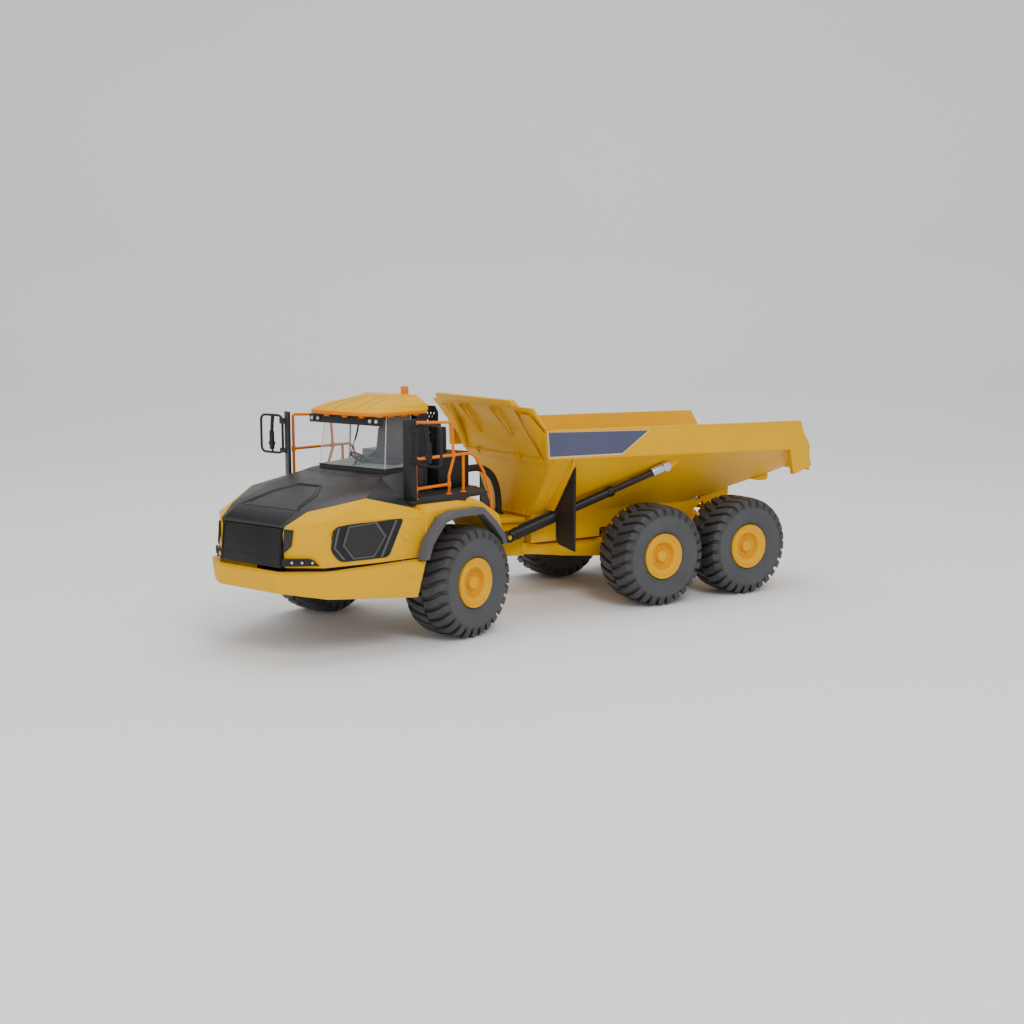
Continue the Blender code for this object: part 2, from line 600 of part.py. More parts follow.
def hood():
    wall = HOOD_WALL
    rings = []
    for x, ridge, ridge_z, edge, edge_z in ((258.2, 40.0, 128.0, 44.0, 127.2), (237.5, 42.0, 139.0, 51.5, 138.8),
                                            (188.0, 48.5, 153.5, 79.0, 148.6), (HOOD_REAR_X, 54.0, 161.8, 93.5, 136.0)):
        rings.append([(x, -edge, edge_z), (x, -ridge, ridge_z), (x, ridge, ridge_z), (x, edge, edge_z),
                      (x, edge - 2.0, edge_z - wall), (x, ridge - 1.0, ridge_z - wall),
                      (x, -ridge + 1.0, ridge_z - wall), (x, -edge + 2.0, edge_z - wall)])
    build("hood_top", loft(rings), "black", "hood_axis")

    low = HOOD_HINGE_Z
    stations = ((258.2, 45.4, 45.0, 122.0, 44.4, 127.2), (237.5, 74.0, 70.0, 129.0, 51.9, 138.8),
                (188.0, 92.5, 89.5, 129.5, 79.4, 148.6), (HOOD_SEAM_X, 105.2, 103.6, 126.5, 96.2, 134.0))
    recess = [(162.0, 125.5), (225.0, 123.5), (230.0, 119.0), (226.5, 101.0), (219.0, 94.0), (184.0, 93.0)]
    for name, side in SIDES:
        rings = []
        for x, foot, crease, crease_z, top, top_z in stations:
            rings.append([(x, foot - wall, low), (x, foot, low), (x, crease, crease_z), (x, top, top_z),
                          (x, top - 2.0, top_z - wall), (x, crease - wall - 1.0, crease_z - 2.0)])
        panel = loft(rings)
        shelf = 1.6
        pocket = prism(recess, "y", 60.0, 130.0)
        skin = []
        for x, foot, crease, crease_z, _, _ in stations:
            skin.append([(x, 40.0, low - 5.0), (x, foot - shelf, low - 5.0), (x, crease - shelf, 131.0), (x, 40.0, 131.0)])
        panel = cut(panel, cut(pocket, loft(skin)))
        build("hood_side_" + name, both(panel, side), "yellow", "hood_axis")
    grille = loft([[(x - 4.0, -half, z), (x - 4.0, half, z), (x, half, z), (x, -half, z)]
                   for x, half, z in ((HOOD_HINGE_X, 40.9, low), (HOOD_HINGE_X - 4.1, 40.4, 124.4))])
    build("grille", grille, "black", "hood_axis")


FLARE = [(148.4, 87.6), (141.2, 106.0), (121.5, 125.5), (104.7, 129.9), (60.1, 129.1), (39.5, 112.6),
         (25.5, 97.5), (23.6, 87.6)]


def shrunk(outline, amount):
    """The same arch moved towards the wheel's centre by amount."""
    moved = []
    for x, z in outline:
        away = Vector((x - FRONT_AXLE_X, z - TYRE_RADIUS))
        away -= away.normalized() * amount
        moved.append((FRONT_AXLE_X + away.x, max(z if z < 90.0 else 0.0, TYRE_RADIUS + away.y)))
    return moved


def fenders():
    for name, side in SIDES:
        flare = prism(FLARE + shrunk(FLARE, FLARE_WIDTH)[::-1], "y", FENDER_Y + GAP, FENDER_Y + 12.0)
        build("fender_flare_" + name, both(flare, side), "grey", "front_unit")
        arch = shrunk(FLARE, FLARE_WIDTH - 2.0)
        outer = [(18.0, 87.6), (16.0, 99.0), (22.0, 116.5), (58.0, DECK_LOW - GAP), (132.0, DECK_LOW - GAP),
                 (HOOD_SEAM_X - GAP, 130.0), (HOOD_SEAM_X - GAP, 118.0), (149.6, 87.6)]
        body = prism(arch + outer, "y", 60.0, FENDER_Y)
        hood_room = box(HOOD_SEAM_X - GAP, 170.0, 50.0, 130.0, 84.0, 140.0)
        slope = prism([(98.0, DECK_LOW + 4.0), (112.0, DECK_LOW + 4.0), (112.0, 124.0)], "x", 0.0, 160.0)
        build("fender_" + name, both(cut(body, hood_room, slope), side), "yellow", "front_unit")


def engine():
    return build("engine_block", box(150.0, 225.0, -30.0, 30.0, FRONT_FRAME_TOP + GAP, 122.0), "grey", "front_unit")


def deck():
    half = ((138.0, 60.5), (138.0, 92.0), (58.0, 97.0), (30.0, 97.0), (4.0, 60.0))
    outline = list(half) + [(x, -y) for x, y in half[::-1]] + [(COWL_BACK_X + 14.0, -60.5), (COWL_BACK_X + 14.0, 60.5)]
    return build("cab_deck", prism(outline, "z", DECK_LOW, CAB_FLOOR_Z - GAP), "black", "front_unit")


def canopy(z, inset):
    """Front x and half-width of the cab at height z, moved in by inset."""
    share = max(0.0, (z - WINDOW_LOW) / (CAB_TOP_Z - WINDOW_LOW))
    front = WINDSCREEN_FOOT_X + share * (WINDSCREEN_TOP_X - WINDSCREEN_FOOT_X)
    half = CAB_HALF + share * (CANOPY_TOP_HALF - CAB_HALF)
    return front - inset, half - inset


def cab_ring(z, inset):
    """The cab's plan at height z, moved in by inset."""
    front, half = canopy(z, inset)
    back = CAB_REAR_X + inset
    return [(back, -half, z), (back, half, z), (front, half, z), (front, -half, z)]


def cab():
    wall = CAB_WALL
    outer = loft([cab_ring(z, 0.0) for z in (CAB_FLOOR_Z, WINDOW_LOW)])
    inner = loft([cab_ring(z, wall) for z in (CAB_FLOOR_Z + wall, WINDOW_LOW, WINDOW_LOW + wall)])
    cowl = loft([[(x, -foot, CAB_FLOOR_Z), (x, foot, CAB_FLOOR_Z), (x, foot, CAB_FLOOR_Z + 1.0), (x, half, z),
                  (x, -half, z), (x, -foot, CAB_FLOOR_Z + 1.0)]
                 for x, foot, half, z in ((HOOD_REAR_X - GAP, 78.0, 54.0, 161.8), (126.0, 77.0, 56.0, 163.8),
                                          (COWL_BACK_X, 76.0, 57.0, 164.6))])
    shell = cut(join(outer, cowl), inner)
    top_half = CANOPY_TOP_HALF - PANE - GAP
    bulkhead = box(CANOPY_REAR_X - wall, CANOPY_REAR_X, BULKHEAD_Y, top_half, CAB_FLOOR_Z + 1.0, CAB_TOP_Z)
    pillar = box(CAB_REAR_X, CAB_REAR_X + CAB_PILLAR, CAB_HALF - CAB_PILLAR, CAB_HALF, CAB_FLOOR_Z + 1.0, CAB_TOP_Z)
    web = box(CAB_REAR_X + 1.0, CANOPY_REAR_X - 1.0, CAB_HALF - CAB_PILLAR, CAB_HALF - CAB_PILLAR + wall,
              CAB_FLOOR_Z + 1.0, CAB_TOP_Z)
    build("cab_shell", join(shell, bulkhead, pillar, web), "black", "front_unit")

    low, high = WINDOW_LOW + GAP, CAB_TOP_Z
    rings = []
    for z in (low, high):
        front, half = canopy(z, 0.0)
        rings.append([(front - PANE, -half, z), (front - PANE, half, z), (front, half, z), (front, -half, z)])
    build("windscreen", loft(rings), "glass", "front_unit")
    for name, side in SIDES:
        rings = []
        for z in (low, high):
            front, half = canopy(z, 0.0)
            front -= PANE + GAP
            rings.append([(CANOPY_REAR_X + GAP, half - PANE, z), (front, half - PANE, z), (front, half, z),
                          (CANOPY_REAR_X + GAP, half, z)])
        build("side_glass_" + name, both(loft(rings), side), "glass", "front_unit")
    rings = []
    for z in (low, high):
        half = canopy(z, 0.0)[1]
        rings.append([(x, y, z) for x, y in ((CANOPY_REAR_X - PANE, -half), (CANOPY_REAR_X, -half),
                                             (CANOPY_REAR_X, BULKHEAD_Y - GAP),
                                             (CANOPY_REAR_X - PANE, BULKHEAD_Y - GAP))])
    build("rear_glass", loft(rings), "glass", "front_unit")

    roof_low = CAB_TOP_Z + GAP
    roof_top = roof_low + ROOF_RISE
    rings = []
    for back, front, rear_half, half, z in ((68.0, 137.0, 46.5, 46.5, roof_low),
                                            (65.0, 140.0, 49.5, 49.5, roof_low + 4.0),
                                            (65.0, 126.0, 47.5, 42.0, roof_low + 10.0),
                                            (66.5, 94.0, 38.0, 26.0, roof_top)):
        rings.append([(back, -rear_half, z), (back, rear_half, z), (front - 6.0, half, z), (front, half * 0.7, z),
                      (front + 1.0, 0.0, z), (front, -half * 0.7, z), (front - 6.0, -half, z)])
    build("cab_roof", loft(rings), "yellow", "front_unit")
    x, y = BEACON_AT
    build("beacon", rod((x, y, roof_top + GAP), (x, y, roof_top + BEACON_HEIGHT), BEACON_RADIUS, 20), "orange",
          "front_unit", smooth=35)
    build("light_bar", box(LIGHT_BAR_X, LIGHT_BAR_X + 4.5, -LIGHT_BAR_HALF, LIGHT_BAR_HALF, LIGHT_BAR_LOW,
                           CAB_TOP_Z), "black", "front_unit")
    cab_inside()


def cab_inside():
    floor = CAB_FLOOR_Z + CAB_WALL + GAP
    half = CAB_HALF - CAB_WALL - GAP
    seat_front = CANOPY_REAR_X + SEAT_DEPTH
    seat_outline = [(-16.0, floor), (-16.0, 172.5), (-1.0, 182.0), (2.0, 204.0), (6.0, 207.0), (36.0, 207.0),
                    (39.0, 203.0), (39.0, floor)]
    back = prism(seat_outline, "x", CANOPY_REAR_X + GAP, CANOPY_REAR_X + 6.0)
    cushion = box(CANOPY_REAR_X + GAP, seat_front, -12.0, 36.0, floor, 173.5)
    build("seat", join(back, cushion), "grey", "front_unit")
    dash = [(WINDSCREEN_FOOT_X - CAB_WALL - GAP, floor), (WINDSCREEN_FOOT_X - CAB_WALL - GAP, 166.0),
            (117.0, 168.5), (CANOPY_REAR_X + 2.0, 170.6), (CANOPY_REAR_X + 2.0, floor)]
    slab = prism(dash, "y", -half, half)
    room = box(CANOPY_REAR_X - 8.0, seat_front + GAP, -16.0 - GAP, 39.0 + GAP, floor - 8.0, 200.0)
    build("dashboard", cut(slab, room), "slate", "front_unit")
    hub = Vector(STEERING_WHEEL_AT)
    tilt = Vector((-0.55, 0.0, 0.83)).normalized()
    ring = turned([(-1.0, 7.0), (1.0, 7.0), (1.0, 9.0), (-1.0, 9.0)], (0, 0, 0), "z", 24)
    spoke = box(-8.0, 8.0, -1.0, 1.0, -0.8, 0.8)
    wheel_mesh = join(ring, spoke, rod((0, 0, 0.4), (0, 0, -12.0), 1.3, 10))
    turn = tilt.to_track_quat("Z", "Y").to_matrix()
    for vertex in wheel_mesh.verts:
        vertex.co = hub + turn @ vertex.co
    under = [(x, z + GAP) for x, z in dash]
    build("steering_wheel", cut(wheel_mesh, prism(under, "y", -half, half)), "black", "front_unit")


def handrails():
    y = HANDRAIL_Y
    top = HANDRAIL_TOP
    foot = CAB_FLOOR_Z
    for name, side in SIDES:
        hoop = pipe([(125.0, y, foot), (125.0, y, top), (123.0, y, top + 1.5), (73.0, y, top - 1.5), (71.0, y, top - 3.5),
                     (69.0, y, 183.0), (69.0, y, 176.0), (76.0, y, 160.0), (76.0, y, foot)], HANDRAIL_RADIUS)
        middle = pipe([(125.0, y, 180.0), (44.0, y, 179.5), (36.0, y + 2.0, 175.0), (28.0, y + 5.0, 160.0),
                       (21.5, y + 9.0, 135.0), (20.5, y + 10.0, FENDER_FOOT_Z)], HANDRAIL_RADIUS)
        back = pipe([(54.0, y, 179.0), (54.0, y, foot)], HANDRAIL_RADIUS)
        low = pipe([(125.0, y, 151.0), (76.0, y, 151.0)], HANDRAIL_RADIUS)
        build("handrail_" + name, both(join(hoop, middle, back, low), side), "orange", "front_unit", smooth=40)


def mirrors():
    for name, side in SIDES:
        along = Vector((-0.42, 0.91, 0.0)).normalized()
        across = Vector((along.y, -along.x, 0.0))
        middle = Vector(MIRROR_POST_AT).to_3d()
        corners = [middle + along * u + across * v for u, v in ((-6.5, -1.3), (6.5, -1.3), (6.5, 1.3), (-6.5, 1.3))]
        post = prism([(p.x, p.y) for p in corners], "z", CAB_FLOOR_Z, CAB_TOP_Z)
        frame = box(middle.x - 1.5, middle.x + 1.5, MIRROR_POST_AT[1] + 3.0, MIRROR_OUTER_Y, 174.0, 216.0)
        hole = box(middle.x - 9.0, middle.x + 9.0, MIRROR_POST_AT[1] + 8.5, MIRROR_OUTER_Y - 2.6, 176.6, 213.4)
        build("mirror_" + name, both(join(post, cut(frame, hole)), side), "black", "front_unit")


def rear_of_cab():
    build("air_box", box(8.0, CAB_REAR_X - 8.0, -54.0, 54.0, CAB_FLOOR_Z, AIR_BOX_TOP), "black", "front_unit")
    x = CAB_REAR_X - 14.0
    outline = [(29.0, AIR_BOX_TOP + GAP), (49.0, AIR_BOX_TOP + GAP), (49.0, 220.0), (45.0, 226.0), (33.0, 226.0), (29.0, 220.0)]
    build("exhaust_guard", prism(outline, "x", x, x + 2.0), "black", "front_unit")
    path = []
    route = [Vector(point) for point in HOSE_ROUTE]
    for i in range(len(route) - 1):
        before = route[max(0, i - 1)]
        after = route[min(len(route) - 1, i + 2)]
        for k in range(6):
            path.append(curve_point(before, route[i], route[i + 1], after, k / 6.0))
    path.append(route[-1])
    foot = rod((route[0].x, route[0].y, DECK_Z + GAP), (route[0].x, route[0].y, DECK_Z + 2.5), 5.5, 20)
    build("hose", join(pipe(path, HOSE_RADIUS, 10), foot), "black", "rear_unit", smooth=40)


def curve_point(p0, p1, p2, p3, t):
    """A point on the smooth curve from p1 to p2."""
    return 0.5 * (2 * p1 + (p2 - p0) * t + (2 * p0 - 5 * p1 + 4 * p2 - p3) * t * t
                  + (3 * p1 - p0 - 3 * p2 + p3) * t * t * t)


def all_wheels():
    for name, side in SIDES:
        wheel("front_" + name, FRONT_AXLE_X, side, "front_unit")
        wheel("middle_" + name, MID_AXLE_X, side, "rear_unit")
        wheel("rear_" + name, MID_AXLE_X - BOGIE_SPACING, side, "rear_unit")


def settle():
    """Puts the model's origin under the middle of its box."""
    bpy.context.view_layer.update()
    corners = [thing.matrix_world @ vertex.co for thing in bpy.data.objects if thing.type == "MESH"
               for vertex in thing.data.vertices]
    low = [min(corner[k] for corner in corners) for k in range(3)]
    high = [max(corner[k] for corner in corners) for k in range(3)]
    shift = Vector((-(low[0] + high[0]) / 2, -(low[1] + high[1]) / 2, -low[2]))
    PARENTS["machine"][0].location = shift


pivot("machine", (0, 0, 0))
pivot("rear_unit", (0, 0, 0), "machine")
pivot("bed_axis", (BED_HINGE_X, 0, BED_HINGE_Z), "rear_unit")
for side_name, side_sign in SIDES:
    pivot("cylinder_" + side_name + "_axis", (CYL_FOOT[0], side_sign * CYL_FOOT[1], CYL_FOOT[2]), "rear_unit")
pivot("hitch_axis", (0, 0, HITCH_Z), "machine")
pivot("front_unit", (0, 0, 0), "machine", STEER_AT_REST)
pivot("hood_axis", (HOOD_HINGE_X, 0, HOOD_HINGE_Z), "front_unit")

rear_frame()
bogie_beams()
bed()
mudflaps()
cylinders()
hitch()
front_frame()
bumper()
hood()
fenders()
engine()
deck()
cab()
handrails()
mirrors()
rear_of_cab()
axle("front_axle", FRONT_AXLE_X, "front_unit")
axle("middle_axle", MID_AXLE_X, "rear_unit")
axle("rear_axle", MID_AXLE_X - BOGIE_SPACING, "rear_unit")
all_wheels()
settle()
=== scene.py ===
"""Looks of the toy articulated hauler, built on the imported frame."""

import json
import math

import bmesh
import bpy
from mathutils import Matrix, Vector
from mathutils.bvhtree import BVHTree

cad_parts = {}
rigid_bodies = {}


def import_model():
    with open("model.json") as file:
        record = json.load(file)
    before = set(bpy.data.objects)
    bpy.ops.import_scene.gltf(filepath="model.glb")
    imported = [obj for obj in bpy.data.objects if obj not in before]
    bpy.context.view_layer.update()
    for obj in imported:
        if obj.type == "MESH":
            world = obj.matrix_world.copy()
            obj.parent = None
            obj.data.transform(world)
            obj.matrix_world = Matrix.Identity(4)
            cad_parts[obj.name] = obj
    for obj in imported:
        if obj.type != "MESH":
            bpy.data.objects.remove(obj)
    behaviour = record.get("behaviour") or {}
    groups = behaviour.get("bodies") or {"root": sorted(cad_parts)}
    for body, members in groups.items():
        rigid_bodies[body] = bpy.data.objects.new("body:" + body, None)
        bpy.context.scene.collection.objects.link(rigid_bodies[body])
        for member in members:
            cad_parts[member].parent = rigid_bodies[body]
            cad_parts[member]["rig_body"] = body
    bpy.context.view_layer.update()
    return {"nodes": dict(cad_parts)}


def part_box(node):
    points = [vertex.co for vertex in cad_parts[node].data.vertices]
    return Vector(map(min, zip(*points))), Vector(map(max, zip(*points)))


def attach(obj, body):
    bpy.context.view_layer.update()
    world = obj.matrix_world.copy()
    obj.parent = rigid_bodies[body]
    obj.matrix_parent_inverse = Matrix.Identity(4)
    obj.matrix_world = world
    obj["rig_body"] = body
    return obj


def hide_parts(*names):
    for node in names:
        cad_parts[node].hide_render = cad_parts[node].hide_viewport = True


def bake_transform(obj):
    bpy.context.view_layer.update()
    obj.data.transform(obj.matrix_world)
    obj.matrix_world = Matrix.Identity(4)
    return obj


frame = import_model()
nodes = frame["nodes"]
MM = 0.001

# ---------------------------------------------------------------- where things stand
# Millimetres, in the own frame of the unit the piece belongs to: x ahead of the steering pivot,
# y to the left, z up from the ground.
WHEEL_FRONT_X = 76.2
WHEEL_MIDDLE_X = -218.8
WHEEL_REAR_X = -341.4
TYRE_RADIUS = 55.5
TYRE_FACE = 122.4
TYRE_HALF = 26.2
RIM_FACE = TYRE_FACE - 2.0
HUB_DEPTH = 5.0
WINDOW_LOW = 167.0
CANOPY_TALL = 52.0
CANOPY_REAR_X = 84.0
CAB_SIDE_Y = 45.8
CAB_BACK_X = 63.9
BULKHEAD_X = 80.9
DECK_Z = 141.0
RAIL_Y = 85.0
AIR_BOX_X = 8.2
AIR_BOX_SIDE_Y = 54.0
AIR_BOX_TOP = 177.0
MIRROR_X = 133.0
FLAP_X = -113.6
BED_RAIL_Y = 104.0
CYLINDER_FOOT = (-67.0, 40.0, 79.0)
CYLINDER_EYE = (-239.4, 93.6, 150.4)
SIDES = (("left", 1.0), ("right", -1.0))
BOTH = (1.0, -1.0)
UP = (0.0, 0.0, 1.0)
AHEAD = (1.0, 0.0, 0.0)
BACK = (-1.0, 0.0, 0.0)


def centre(node):
    low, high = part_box(node)
    return (low + high) / 2


middle = (centre("rim_middle_left") + centre("rim_middle_right")) / 2
front = (centre("rim_front_left") + centre("rim_front_right")) / 2
PIVOT = Vector((middle.x - WHEEL_MIDDLE_X * MM, middle.y, 0.0))
BEND = math.atan2(front.y - PIVOT.y, front.x - PIVOT.x)
REAR = Matrix.Translation(PIVOT)
FRONT = REAR @ Matrix.Rotation(BEND, 4, "Z")
AXLES = (("front", WHEEL_FRONT_X, FRONT, "front_unit"),
         ("middle", WHEEL_MIDDLE_X, REAR, "rear_unit"),
         ("rear", WHEEL_REAR_X, REAR, "rear_unit"))


# ---------------------------------------------------------------- materials
BUMP_STRENGTH = 0.6
SMUDGES_PER_PATCH = 5.0
TONE_SHARE = 0.5


def material(name, tone, second, rough, grain=2200.0, depth=0.00002, metallic=0.0, patch=14.0,
             rough_swing=0.08, alpha=1.0, gloss=0.4):
    """Two tones in soft patches, a roughness that swings a little, and a fine grain."""
    made = bpy.data.materials.new(name)
    made.use_nodes = True
    tree = made.node_tree
    shader = tree.nodes["Principled BSDF"]
    coordinates = tree.nodes.new("ShaderNodeTexCoord")

    def noise(scale, detail):
        node = tree.nodes.new("ShaderNodeTexNoise")
        node.inputs["Scale"].default_value = scale
        node.inputs["Detail"].default_value = detail
        tree.links.new(coordinates.outputs["Object"], node.inputs["Vector"])
        return node

    blotches = noise(patch, 4.0)
    ramp = tree.nodes.new("ShaderNodeValToRGB")
    ramp.color_ramp.elements[0].position = 0.5 - TONE_SHARE / 2
    ramp.color_ramp.elements[1].position = 0.5 + TONE_SHARE / 2
    ramp.color_ramp.elements[0].color = (*second, 1.0)
    ramp.color_ramp.elements[1].color = (*tone, 1.0)
    tree.links.new(blotches.outputs["Fac"], ramp.inputs["Fac"])
    tree.links.new(ramp.outputs["Color"], shader.inputs["Base Color"])

    smudge = noise(patch * SMUDGES_PER_PATCH, 3.0)
    swing = tree.nodes.new("ShaderNodeMapRange")
    swing.inputs["To Min"].default_value = max(0.02, rough - rough_swing)
    swing.inputs["To Max"].default_value = min(1.0, rough + rough_swing)
    tree.links.new(smudge.outputs["Fac"], swing.inputs["Value"])
    tree.links.new(swing.outputs["Result"], shader.inputs["Roughness"])

    fine = noise(grain, 2.0)
    bump = tree.nodes.new("ShaderNodeBump")
    bump.inputs["Strength"].default_value = BUMP_STRENGTH
    bump.inputs["Distance"].default_value = depth
    tree.links.new(fine.outputs["Fac"], bump.inputs["Height"])
    tree.links.new(bump.outputs["Normal"], shader.inputs["Normal"])
    shader.inputs["Metallic"].default_value = metallic
    shader.inputs["Specular IOR Level"].default_value = gloss
    shader.inputs["Alpha"].default_value = alpha
    return made


YELLOW = material("yellow_plastic", (0.82, 0.435, 0.0), (0.78, 0.408, 0.0), 0.40, gloss=0.10)
RIM_YELLOW = material("rim_yellow", (0.84, 0.42, 0.0), (0.79, 0.39, 0.0), 0.40, patch=40.0,
                      gloss=0.10)
BLACK = material("black_plastic", (0.010, 0.010, 0.011), (0.017, 0.016, 0.017), 0.40, depth=0.00003,
                 gloss=0.3)
HOOD_BLACK = material("hood_black", (0.018, 0.017, 0.018), (0.028, 0.026, 0.027), 0.40,
                      depth=0.00004, gloss=0.4)
BROWN_BLACK = material("mudflap_black", (0.017, 0.011, 0.008), (0.026, 0.018, 0.013), 0.50,
                       gloss=0.25)
GREY = material("flare_grey", (0.078, 0.079, 0.086), (0.095, 0.096, 0.104), 0.50, depth=0.00004,
                gloss=0.3)
DARK_GREY = material("insert_grey", (0.024, 0.022, 0.021), (0.033, 0.031, 0.030), 0.45, gloss=0.3)
RUBBER = material("rubber", (0.082, 0.084, 0.091), (0.062, 0.064, 0.070), 0.60, grain=1500.0,
                  depth=0.00005, patch=30.0, gloss=0.3)
TREAD = material("tread_rubber", (0.058, 0.057, 0.060), (0.040, 0.039, 0.042), 0.52, grain=1500.0,
                 depth=0.00006, patch=60.0, gloss=0.4)
ORANGE = material("orange_plastic", (0.90, 0.21, 0.0), (0.84, 0.19, 0.0), 0.40, gloss=0.14)
BEACON = material("beacon_orange", (0.95, 0.22, 0.0), (0.90, 0.18, 0.0), 0.25, grain=900.0,
                  gloss=0.2)
SILVER = material("silver_paint", (0.62, 0.63, 0.65), (0.50, 0.51, 0.53), 0.28, metallic=0.55,
                  grain=3000.0)
SLATE = material("slate_plastic", (0.22, 0.29, 0.29), (0.18, 0.24, 0.245), 0.50)
SEAT = material("seat_dark", (0.010, 0.014, 0.024), (0.017, 0.022, 0.036), 0.55, gloss=0.2)
NAVY = material("band_navy", (0.090, 0.098, 0.165), (0.078, 0.086, 0.148), 0.42, gloss=0.2)
BORDER = material("band_border", (0.80, 0.56, 0.26), (0.74, 0.50, 0.22), 0.45)
GLASS = material("clear_plastic", (0.92, 0.95, 0.97), (0.86, 0.91, 0.94), 0.05, grain=300.0,
                 depth=0.000005, rough_swing=0.03, alpha=0.07, gloss=0.5)
# Pale, half-clear paint for strips on the canopy's edges: a painted highlight where light catches
# the clear plastic.
PAINTED_EDGE_HIGHLIGHT = material("painted_edge_highlight", (0.90, 0.92, 0.94), (0.80, 0.83, 0.86), 0.20, grain=900.0, alpha=0.55)
LAMP = material("lamp_clear", (0.75, 0.75, 0.73), (0.50, 0.50, 0.49), 0.15, metallic=0.5,
                grain=1200.0)
DECK = material("deck_black", (0.016, 0.015, 0.016), (0.028, 0.027, 0.027), 0.55, grain=700.0,
                depth=0.00025, gloss=0.3)
HOSE = material("hose_black", (0.011, 0.011, 0.012), (0.022, 0.022, 0.023), 0.45)


# ---------------------------------------------------------------- building
WELD = 0.0005
BEVEL_FROM = math.radians(25.0)
SOLID_WELD = 0.002
SOLID_FLAT = math.radians(1.0)
SOLID_BEVEL_FROM = math.radians(24.0)


def finish_piece(name, mesh, paint, place, body, smooth=32.0, bevel=0.0, segments=2,
                 replaces=()):
    """A mesh in millimetres in its unit's own frame becomes a piece that rides on a body."""
    bmesh.ops.remove_doubles(mesh, verts=mesh.verts, dist=WELD)
    bmesh.ops.recalc_face_normals(mesh, faces=mesh.faces)
    if bevel:
        edges = [e for e in mesh.edges if len(e.link_faces) == 2 and e.calc_length() > bevel * 1.2
                 and e.calc_face_angle(0.0) > BEVEL_FROM]
        bmesh.ops.bevel(mesh, geom=edges, offset=bevel, segments=segments, profile=0.5,
                        affect="EDGES", clamp_overlap=True)
    mesh.transform(place @ Matrix.Scale(MM, 4))
    data = bpy.data.meshes.new(name)
    mesh.to_mesh(data)
    mesh.free()
    data.polygons.foreach_set("use_smooth", [True] * len(data.polygons))
    data.set_sharp_from_angle(angle=math.radians(smooth))
    made = bpy.data.objects.new(name, data)
    bpy.context.scene.collection.objects.link(made)
    for one in paint if isinstance(paint, (list, tuple)) else (paint,):
        data.materials.append(one)
    if body:
        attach(made, body)
    if replaces:
        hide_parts(*replaces)
    return made


def soften(node, paint, width, segments=2):
    """The same solid with moulded, rounded edges, shown in place of its plain node."""
    mesh = bmesh.new()
    mesh.from_mesh(nodes[node].data)
    mesh.transform(Matrix.Scale(1.0 / MM, 4))
    bmesh.ops.remove_doubles(mesh, verts=mesh.verts, dist=SOLID_WELD)
    bmesh.ops.dissolve_limit(mesh, angle_limit=SOLID_FLAT, verts=mesh.verts, edges=mesh.edges)
    edges = [e for e in mesh.edges if len(e.link_faces) == 2 and e.calc_length() > width * 2.5
             and e.calc_face_angle(0.0) > SOLID_BEVEL_FROM]
    bmesh.ops.bevel(mesh, geom=edges, offset=width, segments=segments, profile=0.5, affect="EDGES",
                    clamp_overlap=False)
    finish_piece(node + "_moulded", mesh, paint, Matrix.Identity(4), nodes[node]["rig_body"],
                 replaces=(node,))


def repaint(node, paint):
    """A node that shows as it is gets the looks of its stuff."""
    target = nodes[node]
    for slot in target.material_slots:
        slot.material = paint


def loft(rings):
    """Rings of equally many points joined into a closed solid."""
    mesh = bmesh.new()
    rows = [[mesh.verts.new(point) for point in ring] for ring in rings]
    count = len(rows[0])
    for a, b in zip(rows, rows[1:]):
        for i in range(count):
            j = (i + 1) % count
            mesh.faces.new((a[i], a[j], b[j], b[i]))
    mesh.faces.new(rows[0][::-1])
    mesh.faces.new(rows[-1])
    return mesh


def prism(outline, low, high):
    """An outline of points in space, thickened from one offset to the other."""
    return loft([[Vector(p) + low for p in outline], [Vector(p) + high for p in outline]])


def block(x0, x1, y0, y1, z0, z1):
    return loft([[(x0, y0, z), (x1, y0, z), (x1, y1, z), (x0, y1, z)] for z in (z0, z1)])


def shrunk(outline, share):
    """The outline drawn in towards its middle."""
    core = sum(outline, Vector()) / len(outline)
    return [core + (p - core) * share for p in outline]


def merge(*parts):
    """Several meshes as one piece."""
    whole = parts[0]
    scratch = bpy.data.meshes.new("scratch")
    for part in parts[1:]:
        part.to_mesh(scratch)
        part.free()
        whole.from_mesh(scratch)
    bpy.data.meshes.remove(scratch)
    return whole


def mirrored(mesh, side):
    """A mesh made for the left side, put on the side asked for."""
    if side < 0:
        mesh.transform(Matrix.Scale(-1.0, 4, (0, 1, 0)))
        bmesh.ops.reverse_faces(mesh, faces=mesh.faces)
    return mesh


def frame_on(direction):
    """Two directions square to this one and to each other."""
    along = Vector(direction).normalized()
    helper = Vector((0, 0, 1)) if abs(along.z) < 0.9 else Vector((1, 0, 0))
    across = along.cross(helper).normalized()
    return across, along.cross(across).normalized()


def around(count, shift=0.0):
    """Equal angles round a circle, shifted by a share of one step."""
    return [2 * math.pi * (k + shift) / count for k in range(count)]


def tube(points, radius, sides=12, ripple=(0.0,)):
    """A round bar along the points. The ripple is added to its radius, ring by ring."""
    points = [Vector(p) for p in points]
    rings = []
    across, up = frame_on(points[1] - points[0])
    for i, point in enumerate(points):
        before = points[max(0, i - 1)]
        after = points[min(len(points) - 1, i + 1)]
        along = (after - before).normalized()
        across = (across - along * across.dot(along)).normalized()
        up = along.cross(across)
        size = radius + ripple[i % len(ripple)]
        rings.append([point + across * size * math.cos(angle) + up * size * math.sin(angle)
                      for angle in around(sides)])
    return loft(rings)


